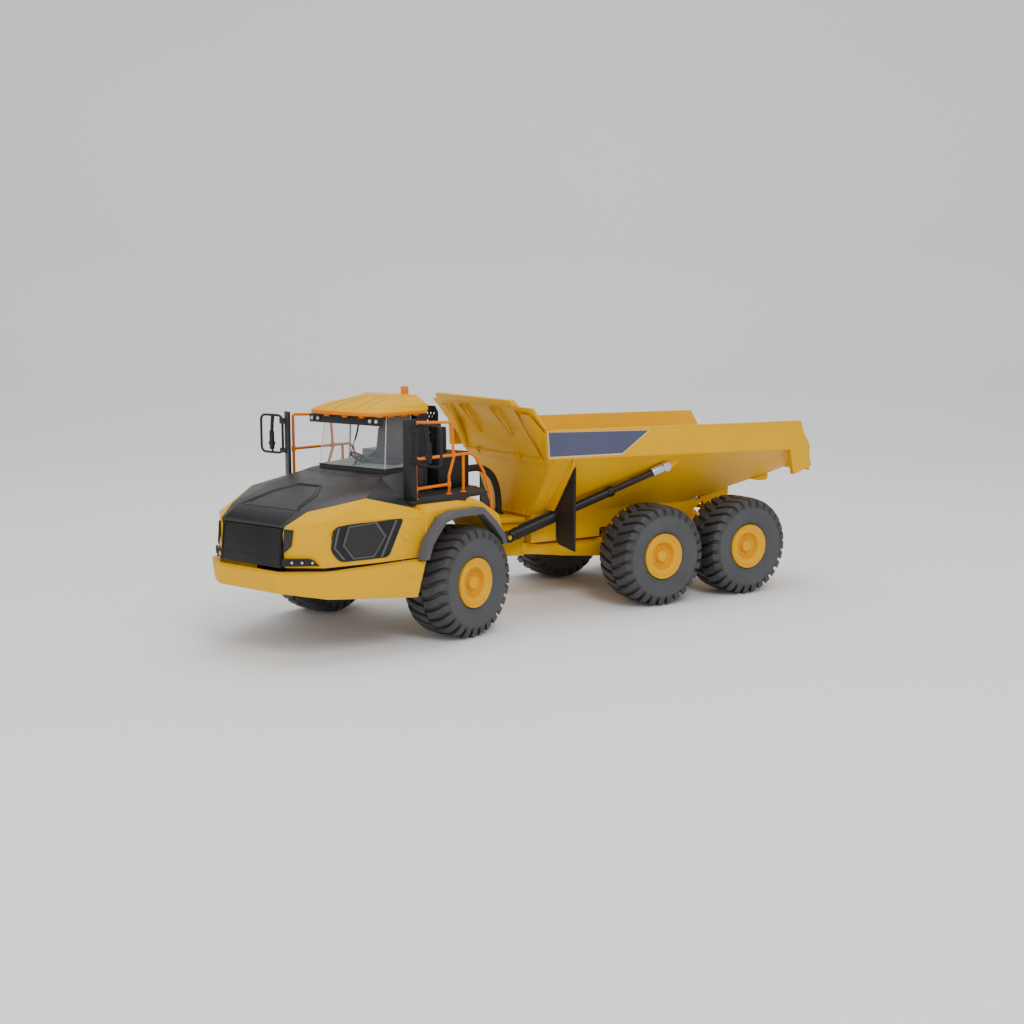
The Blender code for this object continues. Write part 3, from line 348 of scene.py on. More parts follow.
def rounded(points, radius, steps=5, ring=False):
    """The corners of a polyline turned into arcs."""
    points = [Vector(p) for p in points]
    out = []
    count = len(points)
    for i, point in enumerate(points):
        if not ring and i in (0, count - 1):
            out.append(point)
            continue
        before = points[i - 1]
        after = points[(i + 1) % count]
        reach = min(radius, (before - point).length * 0.45, (after - point).length * 0.45)
        start = point + (before - point).normalized() * reach
        end = point + (after - point).normalized() * reach
        for k in range(steps + 1):
            t = k / steps
            out.append(start * (1 - t) ** 2 + point * 2 * t * (1 - t) + end * t * t)
    return out


def lathe(profile, at, axis, sides=48, closed=True):
    """profile holds (distance along the axis, radius) pairs."""
    at = Vector(at)
    axis = Vector(axis).normalized()
    across, up = frame_on(axis)
    mesh = bmesh.new()
    rows = []
    for along, radius in profile:
        if radius < 1e-6:
            rows.append([mesh.verts.new(at + axis * along)])
            continue
        rows.append([mesh.verts.new(at + axis * along
                                    + (across * math.cos(angle) + up * math.sin(angle)) * radius)
                     for angle in around(sides)])
    pairs = list(zip(rows, rows[1:]))
    if closed and len(rows[0]) > 1 and len(rows[-1]) > 1:
        pairs.append((rows[-1], rows[0]))
    for a, b in pairs:
        for k in range(sides):
            n = (k + 1) % sides
            ring = [a[k % len(a)], a[n % len(a)], b[n % len(b)], b[k % len(b)]]
            corners = []
            for vertex in ring:
                if vertex not in corners:
                    corners.append(vertex)
            if len(corners) > 2:
                mesh.faces.new(corners)
    return mesh


def bolt(at, axis, radius, height):
    """A six-sided head with a small chamfer."""
    profile = [(0.0, 0.0), (0.0, radius), (height * 0.7, radius), (height, radius * 0.75),
               (height, 0.0)]
    return lathe(profile, at, axis, 6, closed=False)


SUNK = 0.2


def strip(points, normal, width, height):
    """A low raised bead that follows a line on a surface, its foot sunk into it."""
    normal = Vector(normal).normalized()
    points = [Vector(p) for p in points]
    rings = []
    for i, point in enumerate(points):
        before = points[max(0, i - 1)]
        after = points[min(len(points) - 1, i + 1)]
        side = (after - before).normalized().cross(normal).normalized()
        rings.append([point - side * width / 2 - normal * SUNK,
                      point + side * width / 2 - normal * SUNK,
                      point + side * width * 0.3 + normal * height,
                      point - side * width * 0.3 + normal * height])
    return loft(rings)


def outer_skin(node):
    """The node's hull as a tree to drop points on, in world metres."""
    mesh = bmesh.new()
    mesh.from_mesh(nodes[node].data)
    hull = bmesh.ops.convex_hull(mesh, input=mesh.verts, use_existing_faces=False)
    bmesh.ops.delete(mesh, geom=hull["geom_interior"] + hull["geom_unused"], context="VERTS")
    tree = BVHTree.FromBMesh(mesh)
    mesh.free()
    return tree


DROP_FROM = 0.03
DROP_REACH = 0.08


def draped(outline, tree, side, out, low, high, cuts=4):
    """A thin plate that follows the front unit's surface held in the tree."""
    mesh = bmesh.new()
    mesh.faces.new([mesh.verts.new(p) for p in outline])
    bmesh.ops.triangulate(mesh, faces=mesh.faces)
    bmesh.ops.subdivide_edges(mesh, edges=mesh.edges, cuts=cuts, use_grid_fill=True)
    bmesh.ops.triangulate(mesh, faces=mesh.faces)
    flip = Matrix.Scale(-1.0, 4, (0, 1, 0)) if side < 0 else Matrix.Identity(4)
    to_world = FRONT @ Matrix.Scale(MM, 4) @ flip
    back = to_world.inverted()
    aim = (to_world.to_3x3() @ out).normalized()
    for vertex in mesh.verts:
        start = to_world @ vertex.co + aim * DROP_FROM
        hit = tree.ray_cast(start, -aim, DROP_REACH)[0]
        if hit is not None:
            vertex.co = back @ hit
    top = bmesh.ops.duplicate(mesh, geom=mesh.verts[:] + mesh.edges[:] + mesh.faces[:])
    pairs = {}
    for old, new in top["vert_map"].items():
        if isinstance(old, bmesh.types.BMVert):
            pairs.setdefault(old, new)
    raised = {element for element in top["geom"] if isinstance(element, bmesh.types.BMVert)}
    rim = [e for e in mesh.edges if len(e.link_faces) == 1 and e.verts[0] not in raised]
    for edge in rim:
        a, b = edge.verts
        mesh.faces.new((a, b, pairs[b], pairs[a]))
    for vertex in mesh.verts:
        vertex.co += out * (high if vertex in raised else low)
    return mirrored(mesh, side)


# ---------------------------------------------------------------- wheels
LUGS = 28
TREAD_SLANT = 0.17
SLANT_REACH = 24.0
SLANT_POWER = 1.6
TREAD_ROWS = 8
WHEEL_BOLTS = 8


def tyre_mesh(x, side):
    """Half-profiles of the lug surface and of the grooves, picked column by column."""
    # Distance from the middle of the tread and radius, from the middle to the bead.
    wall = [(26.15, 43.4), (26.35, 42.9), (26.15, 42.3), (25.9, 38.0), (25.1, 33.5), (24.2, 30.2),
            (24.45, 29.6), (24.0, 29.0), (23.0, 26.6), (21.6, 25.3)]
    top = [(0.0, 52.2), (1.1, 55.4), (8.0, 55.45), (14.0, 55.2), (19.5, 54.6), (23.4, 53.2),
           (25.3, 50.6), (26.0, 47.6), (26.2, 44.4)] + wall
    low = [(0.0, 52.2), (1.1, 52.0), (8.0, 51.9), (14.0, 51.6), (19.0, 51.0), (21.4, 49.9),
           (23.2, 48.2), (24.6, 46.4), (25.9, 44.4)] + wall
    # Share of one lug's pitch, and whether the column stands on the lug.
    steps = ((0.0, 0), (0.14, 0), (0.28, 0), (0.33, 1), (0.48, 1), (0.64, 1), (0.80, 1), (0.95, 1))
    y = (TYRE_FACE - TYRE_HALF) * side
    mesh = bmesh.new()
    edges = []
    for half in BOTH:
        columns = []
        for lug in range(LUGS):
            for share, raised in steps:
                turn = (lug + share + (0.5 if half < 0 else 0.0)) * 2 * math.pi / LUGS
                column = []
                for (high_h, high_r), (low_h, low_r) in zip(top, low):
                    h, r = (high_h, high_r) if raised else (low_h, low_r)
                    slant = TREAD_SLANT * (1.0 - min(1.0, h / SLANT_REACH) ** SLANT_POWER) * side
                    angle = turn + slant
                    column.append(mesh.verts.new((x + r * math.sin(angle), y + h * half * side,
                                                  TYRE_RADIUS + r * math.cos(angle))))
                columns.append(column)
        for a, b in zip(columns, columns[1:] + columns[:1]):
            for i in range(len(top) - 1):
                face = mesh.faces.new((a[i], a[i + 1], b[i + 1], b[i]))
                face.material_index = 1 if i < TREAD_ROWS else 0
        edges.append([column[-1] for column in columns])
    outer, inner = edges
    count = len(outer)
    shift = len(steps) // 2
    for k in range(count):
        n = (k + 1) % count
        mesh.faces.new((outer[k], outer[n], inner[(n - shift) % count],
                        inner[(k - shift) % count]))
    return mesh


def rim_mesh(x, side):
    """A dished rim with its hub, bolts and ribs, all turned about the wheel's axle."""
    face = RIM_FACE
    inner = TYRE_FACE - 2 * TYRE_HALF
    profile = [(inner + 5.0, 6.6), (inner + 5.0, 24.0), (face - 2.4, 24.9), (face - 0.5, 24.9),
               (face, 24.4), (face, 23.7), (face - 0.9, 23.0), (face - 1.1, 22.0),
               (face - 0.3, 21.2), (face - 0.2, 20.0), (face - 1.3, 19.2), (face - 1.5, 17.0),
               (face - 2.4, 15.6), (face - 8.4, 14.6), (face - 8.9, 13.8), (face - 8.9, 12.6),
               (face - 8.2, 12.0), (face - 8.1, 10.6), (face - 8.8, 10.0), (face - 8.8, 7.6),
               (face - 7.4, 6.8), (face - 4.4, 6.6)]
    axis = (0.0, side, 0.0)
    circle = 11.3
    parts = [lathe(profile, (x, 0.0, TYRE_RADIUS), axis, 64)]
    for angle in around(WHEEL_BOLTS):
        at = (x + circle * math.cos(angle), side * (face - 8.3),
              TYRE_RADIUS + circle * math.sin(angle))
        parts.append(bolt(at, axis, 0.8, 0.9))
    foot = Vector((x, side * (face - 8.8), TYRE_RADIUS))
    for angle in around(WHEEL_BOLTS, 0.5):
        radial = Vector((math.cos(angle), 0.0, math.sin(angle)))
        turning = Vector((-math.sin(angle), 0.0, math.cos(angle)))
        outline = [foot + radial * a + turning * b
                   for a, b in ((7.4, -0.7), (12.2, -0.5), (12.2, 0.5), (7.4, 0.7))]
        parts.append(prism(outline, Vector((0, -0.3 * side, 0)), Vector((0, 0.9 * side, 0))))
    return merge(*parts)


def wheels():
    for row, x, place, _ in AXLES:
        for name, side in SIDES:
            key = row + "_" + name
            body = "wheel_" + key
            finish_piece("tread_" + key, tyre_mesh(x, side), (RUBBER, TREAD), place, body,
                         smooth=30.0, replaces=("tyre_" + key,))
            finish_piece("wheel_disc_" + key, rim_mesh(x, side), RIM_YELLOW, place, body,
                         smooth=34.0, replaces=("rim_" + key,))


# ---------------------------------------------------------------- front unit
HOOD = "engine_hood"


def hood_top():
    """Panel lines and nose ribs on the black lid."""
    slope = (0.28, 0.0, 0.96)
    lines = []
    for side in BOTH:
        lines.append(strip([(236.0, side * 38.0, 139.6), (205.0, side * 31.0, 148.6),
                            (183.5, side * 15.0, 154.7)],
                           slope, 1.5, 0.7))
        lines.append(strip([(232.0, side * 33.5, 140.9), (205.0, side * 26.5, 148.6),
                            (186.5, side * 13.0, 153.9)],
                           slope, 0.8, 0.4))
    lines.append(strip([(183.5, -15.6, 154.7), (183.5, 15.6, 154.7)], slope, 1.5, 0.7))
    lines.append(strip([(186.5, -13.4, 153.9), (186.5, 13.4, 153.9)], slope, 0.8, 0.4))
    lines.append(strip([(237.6, -42.0, 138.7), (237.6, 42.0, 138.7)], (0.6, 0.0, 0.8), 1.3, 0.6))
    finish_piece("hood_panel_lines", merge(*lines), HOOD_BLACK, FRONT, HOOD, bevel=0.15)
    ribs = []
    for y in range(-40, 41, 2):
        ribs.append(strip([(257.9, y * 0.975, 128.4), (238.6, y, 138.1)], (0.47, 0.0, 0.88), 0.55,
                          0.3))
    finish_piece("hood_nose_ribs", merge(*ribs), HOOD_BLACK, FRONT, HOOD)


def grille():
    """Slats across the front, their x following its slight rake."""
    face = Vector((0.995, 0.0, 0.099))
    parts = [strip([(261.6, -39.6, 97.6), (261.6, 39.6, 97.6)], face, 1.4, 0.7),
             strip([(258.9, -39.6, 123.4), (258.9, 39.6, 123.4)], face, 1.2, 0.6)]
    for side in BOTH:
        parts.append(strip([(262.4, side * 39.7, 89.4), (258.9, side * 39.4, 123.4)], face, 1.0,
                           0.6))
    for z in [99.6 + k for k in range(24)] + [90.4 + k for k in range(7)]:
        x = 262.62 - (z - 88.6) * 0.1115
        parts.append(strip([(x, -38.8, z), (x, 38.8, z)], face, 0.42, 0.25))
    finish_piece("grille_slats", merge(*parts), BLACK, FRONT, HOOD)


def side_intake(name, side):
    """The black recess in the hood's flank: rim, mesh panel and slanting bars."""
    tree = outer_skin("hood_side_" + name)
    out = Vector((0.30, 0.95, 0.05)).normalized()

    def laid(outline, low, high, cuts=4):
        return draped(outline, tree, side, out, low, high, cuts)

    corners = [(225.8, 75.0, 125.0), (211.0, 80.6, 126.8), (156.4, 97.5, 128.0),
               (175.3, 95.3, 92.9), (223.5, 78.5, 92.6), (231.4, 74.8, 104.3)]
    outline = rounded(corners, 5.0, 5, ring=True)
    finish_piece("side_intake_" + name, laid(outline, -0.8, 0.35), BLACK, FRONT, HOOD)

    core = sum(outline, Vector()) / len(outline)
    rim = []
    for p, q in zip(outline, outline[1:] + outline[:1]):
        if (q - p).length > 0.2:
            quad = [p, q, q + (core - q).normalized() * 1.3, p + (core - p).normalized() * 1.3]
            rim.append(laid(quad, 0.2, 0.75, 2))
    finish_piece("side_intake_rim_" + name, merge(*rim), DARK_GREY, FRONT, HOOD)

    hexagon = [Vector(p) for p in ((213.2, 79.9, 124.9), (185.7, 90.1, 127.0),
                                   (176.4, 92.1, 112.9), (190.4, 89.4, 94.6),
                                   (211.1, 83.6, 94.2), (219.5, 77.5, 107.6))]
    finish_piece("side_intake_mesh_" + name, laid(shrunk(hexagon, 0.90), 0.1, 0.7), DARK_GREY,
                 FRONT, HOOD)
    bars = []
    small = shrunk(hexagon, 0.92)
    for k in range(len(hexagon)):
        n = (k + 1) % len(hexagon)
        bars.append(laid([hexagon[k], hexagon[n], small[n], small[k]], 0.2, 1.3, 3))
    slashes = (((163.5, 96.0, 127.2), (166.0, 95.5, 127.2), (183.8, 91.0, 94.0),
                (181.2, 92.0, 94.0)),
               ((185.7, 90.1, 127.0), (188.2, 89.0, 127.0), (178.6, 92.0, 112.0),
                (176.4, 92.1, 112.9)),
               ((221.0, 77.6, 124.4), (223.2, 76.8, 124.0), (228.2, 75.6, 106.0),
                (226.2, 76.2, 106.0)),
               ((226.2, 76.2, 106.0), (228.2, 75.6, 106.0), (220.2, 79.2, 94.6),
                (217.9, 80.0, 94.6)))
    for slash in slashes:
        bars.append(laid(slash, 0.2, 0.9, 3))
    finish_piece("side_intake_bars_" + name, merge(*bars), GREY, FRONT, HOOD)


def headlamp(name, side):
    shell = [Vector(p) for p in ((259.2, 44.2, 124.6), (254.0, 51.2, 123.6), (255.6, 49.9, 109.0),
                                 (261.4, 44.6, 102.0))]
    look = Vector((0.80, 0.60, 0.0)).normalized()
    lamp = prism(shell, look * -0.8, look * 0.9)
    finish_piece("headlight_body_" + name, mirrored(lamp, side), BLACK, FRONT, HOOD, bevel=0.35)
    lens = prism(shrunk([p + look * 0.9 for p in shell], 0.8), look * -0.3, look * 0.3)
    finish_piece("headlight_lens_" + name, mirrored(lens, side), DARK_GREY, FRONT, HOOD,
                 bevel=0.15)


def work_lamps(name, side):
    """The black tray under the flank with its three round lamps."""
    look = Vector((0.62, 0.78, 0.03)).normalized()
    corners = [(262.6, 44.2, 97.8), (246.4, 64.6, 97.6), (240.9, 71.0, 91.0), (262.9, 44.6, 90.4)]
    tray = prism(corners, look * -0.9, look * 0.7)
    finish_piece("lamp_tray_" + name, mirrored(tray, side), BLACK, FRONT, HOOD, bevel=0.3)
    case = [(0.0, 0.0), (0.0, 2.7), (1.0, 2.7), (1.3, 2.4), (1.3, 1.9), (0.6, 1.6), (0.6, 0.0)]
    bulb = [(0.5, 0.0), (0.5, 1.5), (0.9, 1.3), (1.25, 0.8), (1.35, 0.0)]
    for k, (x, y) in enumerate(((256.9, 51.0), (251.2, 58.3), (245.2, 65.8))):
        at = Vector((x, y, 93.9)) + look * 0.3
        finish_piece("work_lamp_case_%d_%s" % (k, name),
                     mirrored(lathe(case, at, look, 24, closed=False), side), BLACK, FRONT, HOOD)
        finish_piece("work_lamp_%d_%s" % (k, name),
                     mirrored(lathe(bulb, at, look, 20, closed=False), side), LAMP, FRONT, HOOD)


def hood():
    soften("hood_top", HOOD_BLACK, 0.6)
    soften("grille", BLACK, 0.4)
    hood_top()
    grille()
    for name, side in SIDES:
        soften("hood_side_" + name, YELLOW, 0.5)
        side_intake(name, side)
        knob = lathe([(-1.5, 0.0), (-1.5, 3.6), (1.4, 3.6), (2.4, 2.9), (2.6, 0.0)],
                     (156.0, 98.6, 110.6), (0.30, 0.95, 0.0), 24, closed=False)
        finish_piece("hood_catch_" + name, mirrored(knob, side), YELLOW, FRONT, HOOD, smooth=40.0)
        crease = strip([(256.5, 46.3, 122.3), (237.5, 70.2, 129.0), (188.0, 89.6, 129.5),
                        (137.0, 102.9, 126.7)], (0.25, 0.75, 0.6), 1.2, 0.3)
        finish_piece("hood_side_crease_" + name, mirrored(crease, side), YELLOW, FRONT, HOOD)
        headlamp(name, side)
        work_lamps(name, side)


CAB = "front_unit"


def front_body():
    soften("front_bumper", YELLOW, 0.7)
    for name, side in SIDES:
        dimple = lathe([(-0.6, 0.0), (-0.6, 3.0), (0.5, 2.7), (0.7, 2.2), (-0.1, 1.7), (-0.1, 0.0)],
                       (156.2, 107.9, 73.3), (0.30, 0.95, -0.05), 24, closed=False)
        finish_piece("bumper_dimple_" + name, mirrored(dimple, side), YELLOW, FRONT, CAB)
        soften("fender_" + name, YELLOW, 0.6)
        soften("fender_flare_" + name, GREY, 1.0, segments=3)
        edge = [Vector(p) for p in ((132.4, 89.8, 136.2), (71.4, 103.2, 136.2),
                                    (62.0, 97.4, 142.2), (132.4, 85.0, 142.6))]
        lift = (edge[1] - edge[0]).cross(edge[3] - edge[0]).normalized()
        strake = prism(edge, lift * -0.6, lift * 0.8)
        finish_piece("deck_edge_" + name, mirrored(strake, side), BLACK, FRONT, CAB, bevel=0.3)
    soften("engine_block", GREY, 0.5)
    soften("front_frame", BLACK, 0.4)
    soften("cab_deck", DECK, 0.4)


def canopy(z):
    """Front x and half-width of the clear canopy at height z."""
    share = (z - WINDOW_LOW) / CANOPY_TALL
    return 126.6 - 6.6 * share, CAB_SIDE_Y - 3.4 * share


def cab():
    """Solids of the cab, pale strips of painted highlight along the edges of its clear canopy, and
    the canopy's seals.
    """
    soften("cab_shell", HOOD_BLACK, 0.3)
    soften("cab_roof", YELLOW, 0.9, segments=3)
    soften("light_bar", BLACK, 0.3)
    soften("dashboard", SLATE, 0.8)
    soften("seat", SEAT, 0.9)
    soften("air_box", BLACK, 0.6)
    repaint("steering_wheel", BLACK)
    for node in ("windscreen", "side_glass_left", "side_glass_right", "rear_glass"):
        repaint(node, GLASS)
    # Pale strips on the canopy's corner edges stand in for light catching the clear plastic:
    # painted highlight.
    edges = []
    for side in BOTH:
        for back in (False, True):
            line = []
            for z in (167.6, 193.0, 218.4):
                x, half = canopy(z)
                line.append((CANOPY_REAR_X + 0.6 if back else x - 0.3, side * (half - 0.3), z))
            edges.append(tube(line, 0.45, 8))
    finish_piece("canopy_edge_highlights", merge(*edges), PAINTED_EDGE_HIGHLIGHT, FRONT, CAB)
    seals = []
    x, half = canopy(167.4)
    base = [(84.2, half + 0.15, 167.2), (x + 0.15, half + 0.15, 167.2),
            (x + 0.15, -half - 0.15, 167.2), (84.2, -half - 0.15, 167.2)]
    seals.append(tube(base, 0.55, 8))
    x, half = canopy(218.0)
    seals.append(tube([(84.0, -half, 217.9), (84.0, 1.0, 217.9)], 0.6, 8))
    seals.append(tube([(83.4, -45.0, 168.0), (83.4, -42.2, 218.0)], 0.5, 8))
    finish_piece("canopy_seals", merge(*seals), BLACK, FRONT, CAB)


def roof():
    """The orange rim with its tabs, the hatch, the ribs and the beacon."""
    low, high = 219.5, 222.4
    outline = [(67.2, 47.6), (133.0, 47.6), (139.2, 33.6), (140.2, 0.0), (139.2, -33.6),
               (133.0, -47.6), (67.2, -47.6)]
    rings = []
    for grow, z in ((-1.6, low), (0.7, low), (1.1, low + 1.4), (0.6, high)):
        rings.append([(x + (grow if x > 100 else -grow * 0.6),
                       y + (math.copysign(grow, y) if y else 0.0), z) for x, y in outline])
    finish_piece("roof_rim", loft(rings), ORANGE, FRONT, CAB, bevel=0.25)
    tabs = []
    for x, y in ((137.4, 26.0), (138.4, 4.0), (137.6, -22.0), (118.0, 45.6), (98.0, 45.6),
                 (80.0, 45.6), (118.0, -45.6), (98.0, -45.6), (80.0, -45.6)):
        tabs.append(block(x - 1.4, x + 1.4, y - 3.0, y + 3.0, 217.6, 219.8) if x > 130 else
                    block(x - 3.0, x + 3.0, y - 1.2, y + 1.2, 217.8, 219.8))
    finish_piece("roof_tabs", merge(*tabs), ORANGE, FRONT, CAB, bevel=0.2)
    hatch = loft([[(66.8, -36.5, 235.2), (66.8, 36.5, 235.2), (91.0, 24.5, 235.2),
                   (91.0, -24.5, 235.2)],
                  [(67.4, -35.2, 237.8), (67.4, 35.2, 237.8), (89.0, 23.4, 237.0),
                   (89.0, -23.4, 237.0)]])
    finish_piece("roof_hatch", hatch, YELLOW, FRONT, CAB, bevel=0.7, segments=3)
    tree = outer_skin("cab_roof")
    up = Vector((0.25, 0.0, 0.97)).normalized()
    ribs = []
    for side in BOTH:
        for near, far in ((13.0, 10.0), (30.0, 21.0)):
            quad = [(138.0, side * near - 0.8, 223.0), (138.0, side * near + 0.8, 223.0),
                    (93.0, side * far + 0.8, 236.0), (93.0, side * far - 0.8, 236.0)]
            ribs.append(draped(quad, tree, 1.0, up, -0.3, 0.5, cuts=7))
    finish_piece("roof_ribs", merge(*ribs), YELLOW, FRONT, CAB)

    low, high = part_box("beacon")
    spot = FRONT.inverted() @ ((low + high) / 2)
    at = (spot.x / MM, spot.y / MM, low.z / MM)
    tall = (high.z - low.z) / MM
    lens = [(0.2, 0.0), (0.2, 4.1)]
    for k in range(7):
        lens += [(2.2 + k * (tall - 4.0) / 7, 4.1), (2.5 + k * (tall - 4.0) / 7, 3.9)]
    lens += [(tall - 1.0, 4.0), (tall, 3.4), (tall, 0.0)]
    finish_piece("beacon_lens", lathe(lens, at, UP, 32, closed=False), BEACON, FRONT, CAB,
                 replaces=("beacon",))
    foot = lathe([(-3.0, 0.0), (-3.0, 5.6), (1.4, 5.2), (2.2, 4.4), (2.2, 0.0)], at, UP, 32,
                 closed=False)
    finish_piece("beacon_foot", foot, YELLOW, FRONT, CAB)


def light_bar():
    bar_x = max((FRONT.inverted() @ v.co).x for v in nodes["light_bar"].data.vertices) / MM
    for k, y in enumerate((44.5, 36.0, -36.0, -44.5)):
        cup = block(bar_x - 0.4, bar_x + 0.5, y - 2.7, y + 2.7, 212.3, 217.6)
        finish_piece("roof_lamp_case_%d" % k, cup, DARK_GREY, FRONT, CAB, bevel=0.2)
        lamp = lathe([(0.0, 0.0), (0.0, 1.9), (0.6, 1.9), (0.9, 1.6), (0.5, 1.1), (0.8, 0.0)],
                     (bar_x + 0.4, y, 215.0), AHEAD, 20, closed=False)
        finish_piece("roof_lamp_%d" % k, lamp, LAMP, FRONT, CAB)
    hangers = []
    for y in (-30.0, 30.0):
        hangers.append(block(bar_x - 10.5, bar_x - 4.2, y - 2.0, y + 2.0, 214.4, 218.8))
    finish_piece("light_bar_hangers", merge(*hangers), BLACK, FRONT, CAB, bevel=0.2)
    wiper = merge(tube([(122.2, 6.6, 210.5), (122.8, 5.0, 202.0), (123.8, 2.9, 194.0)], 0.9, 10),
                  tube([(123.4, 4.6, 200.0), (124.6, 0.5, 188.0), (126.2, -3.0, 176.0)], 0.45, 8))
    finish_piece("wiper", wiper, BLACK, FRONT, CAB)


def cab_back():
    """Raised lines on the cab's flanks and back, and the pipes behind it."""
    frames = []
    for side in BOTH:
        y = side * (CAB_SIDE_Y + 0.1)
        out = (0.0, side, 0.0)
        frames.append(strip([(69.0, y, 146.0), (69.0, y, 165.4), (104.0, y, 165.4),
                             (104.0, y, 146.0)], out, 0.9, 0.4))
        frames.append(lathe([(-0.2, 0.0), (-0.2, 1.6), (1.0, 1.4), (1.0, 0.0)], (98.0, y, 158.0),
                            out, 16, closed=False))
    for k in range(5):
        x = 65.9 + 2.8 * k
        y = 33.0 + 2.7 * k
        frames.append(strip([(x, CAB_SIDE_Y, 169.0), (x, CAB_SIDE_Y, 216.5)], (0, 1, 0), 1.0, 0.5))
        frames.append(strip([(CAB_BACK_X, y, 169.0), (CAB_BACK_X, y, 216.5)], BACK, 1.0, 0.5))
    for k in range(6):
        y = 6.0 + 5.0 * k
        frames.append(strip([(BULKHEAD_X, y, 172.0), (BULKHEAD_X, y, 214.0)], BACK, 1.2, 0.5))
    finish_piece("cab_side_lines", merge(*frames), BLACK, FRONT, CAB)
    pipes = []
    for x, y, radius, top in ((43.0, 34.5, 3.4, 214.0), (43.0, 43.0, 2.6, 208.0),
                              (33.0, 39.0, 4.2, 203.0)):
        profile = [(0.2, 0.0), (0.2, radius + 0.8), (2.4, radius + 0.8), (3.0, radius)]
        for k in range(5):
            z = 5.0 + k * (top - AIR_BOX_TOP - 10.0) / 5
            profile += [(z, radius), (z + 0.4, radius + 0.35), (z + 1.4, radius + 0.35),
                        (z + 1.8, radius)]
        tall = top - AIR_BOX_TOP
        profile += [(tall - 0.5, radius), (tall, radius * 0.85), (tall, radius * 0.6),
                    (tall - 2.0, radius * 0.6), (tall - 2.0, 0.0)]
        pipes.append(lathe(profile, (x, y, AIR_BOX_TOP), UP, 24, closed=False))
    finish_piece("exhaust_pipes", merge(*pipes), BLACK, FRONT, CAB)


def air_box_louvres():
    parts = []
    for k in range(7):
        z = 147.0 + 4.0 * k
        for side in BOTH:
            y = side * AIR_BOX_SIDE_Y
            parts.append(strip([(12.0, y, z), (50.0, y, z)], (0, side, 0), 1.0, 0.6))
    parts.append(strip([(AIR_BOX_X, -50.0, 175.0), (AIR_BOX_X, 50.0, 175.0)], BACK, 2.0, 0.8))
    for y in range(-45, 46, 10):
        parts.append(strip([(7.9, y, 145.0), (7.9, y, 172.0)], BACK, 1.2, 0.6))
    finish_piece("air_box_louvres", merge(*parts), BLACK, FRONT, CAB)


HOLE_RADIUS = 1.6
HOLE_PITCH = 4.4
HOLE_ROWS = 3.9


def guard():
    """A plate with rows of round holes."""
    spots = [(FRONT.inverted() @ v.co) / MM for v in nodes["exhaust_guard"].data.vertices]
    low = [min(p[i] for p in spots) for i in range(3)]
    high = [max(p[i] for p in spots) for i in range(3)]
    outline = [(low[1], low[2]), (high[1], low[2]), (high[1], high[2] - 6.0),
               (high[1] - 4.0, high[2]), (low[1] + 4.0, high[2]), (low[1], high[2] - 6.0)]
    data = bpy.data.meshes.new("guard")
    sheet = loft([[(x, y, z) for y, z in outline] for x in (low[0], high[0])])
    bmesh.ops.recalc_face_normals(sheet, faces=sheet.faces)
    sheet.to_mesh(data)
    sheet.free()
    base = bpy.data.objects.new("guard_scratch", data)
    bpy.context.scene.collection.objects.link(base)
    drills = []
    row = 0
    z = low[2] + 6.0
    while z < high[2] - 4.0:
        y = low[1] + 4.0 + (HOLE_PITCH / 2 if row % 2 else 0.0)
        while y < high[1] - 2.8:
            drill = [(-3.0, 0.0), (-3.0, HOLE_RADIUS), (6.0, HOLE_RADIUS), (6.0, 0.0)]
            drills.append(lathe(drill, (low[0], y, z), AHEAD, 10, closed=False))
            y += HOLE_PITCH
        z += HOLE_ROWS
        row += 1
    holes = merge(*drills)
    bmesh.ops.recalc_face_normals(holes, faces=holes.faces)
    data = bpy.data.meshes.new("drills")
    holes.to_mesh(data)
    holes.free()
    cutter = bpy.data.objects.new("drill_scratch", data)
    bpy.context.scene.collection.objects.link(cutter)
    cut = base.modifiers.new("cut", "BOOLEAN")
    cut.operation = "DIFFERENCE"
    cut.solver = "EXACT"
    cut.object = cutter
    result = base.evaluated_get(bpy.context.evaluated_depsgraph_get())
    mesh = bmesh.new()
    mesh.from_mesh(result.to_mesh())
    bpy.data.objects.remove(base)
    bpy.data.objects.remove(cutter)
    finish_piece("perforated_guard", mesh, BLACK, FRONT, CAB,
                 replaces=("exhaust_guard",))


def handrail(name, side):
    repaint("handrail_" + name, ORANGE)
    parts = []
    foot = [(0.0, 0.0), (0.0, 3.2), (0.8, 3.2), (1.4, 2.4), (1.4, 0.0)]
    for x in (125.0, 76.0, 54.0):
        parts.append(lathe(foot, (x, RAIL_Y, DECK_Z), UP, 16, closed=False))
    collar = [(-2.6, 1.5), (-2.6, 2.1), (2.6, 2.1), (2.6, 1.5)]
    for x, z in ((125.0, 180.0), (69.0, 180.0), (125.0, 151.0), (76.0, 151.0)):
        parts.append(lathe(collar, (x, RAIL_Y, z), UP, 14))
    finish_piece("handrail_feet_" + name, mirrored(merge(*parts), side), ORANGE, FRONT, CAB)


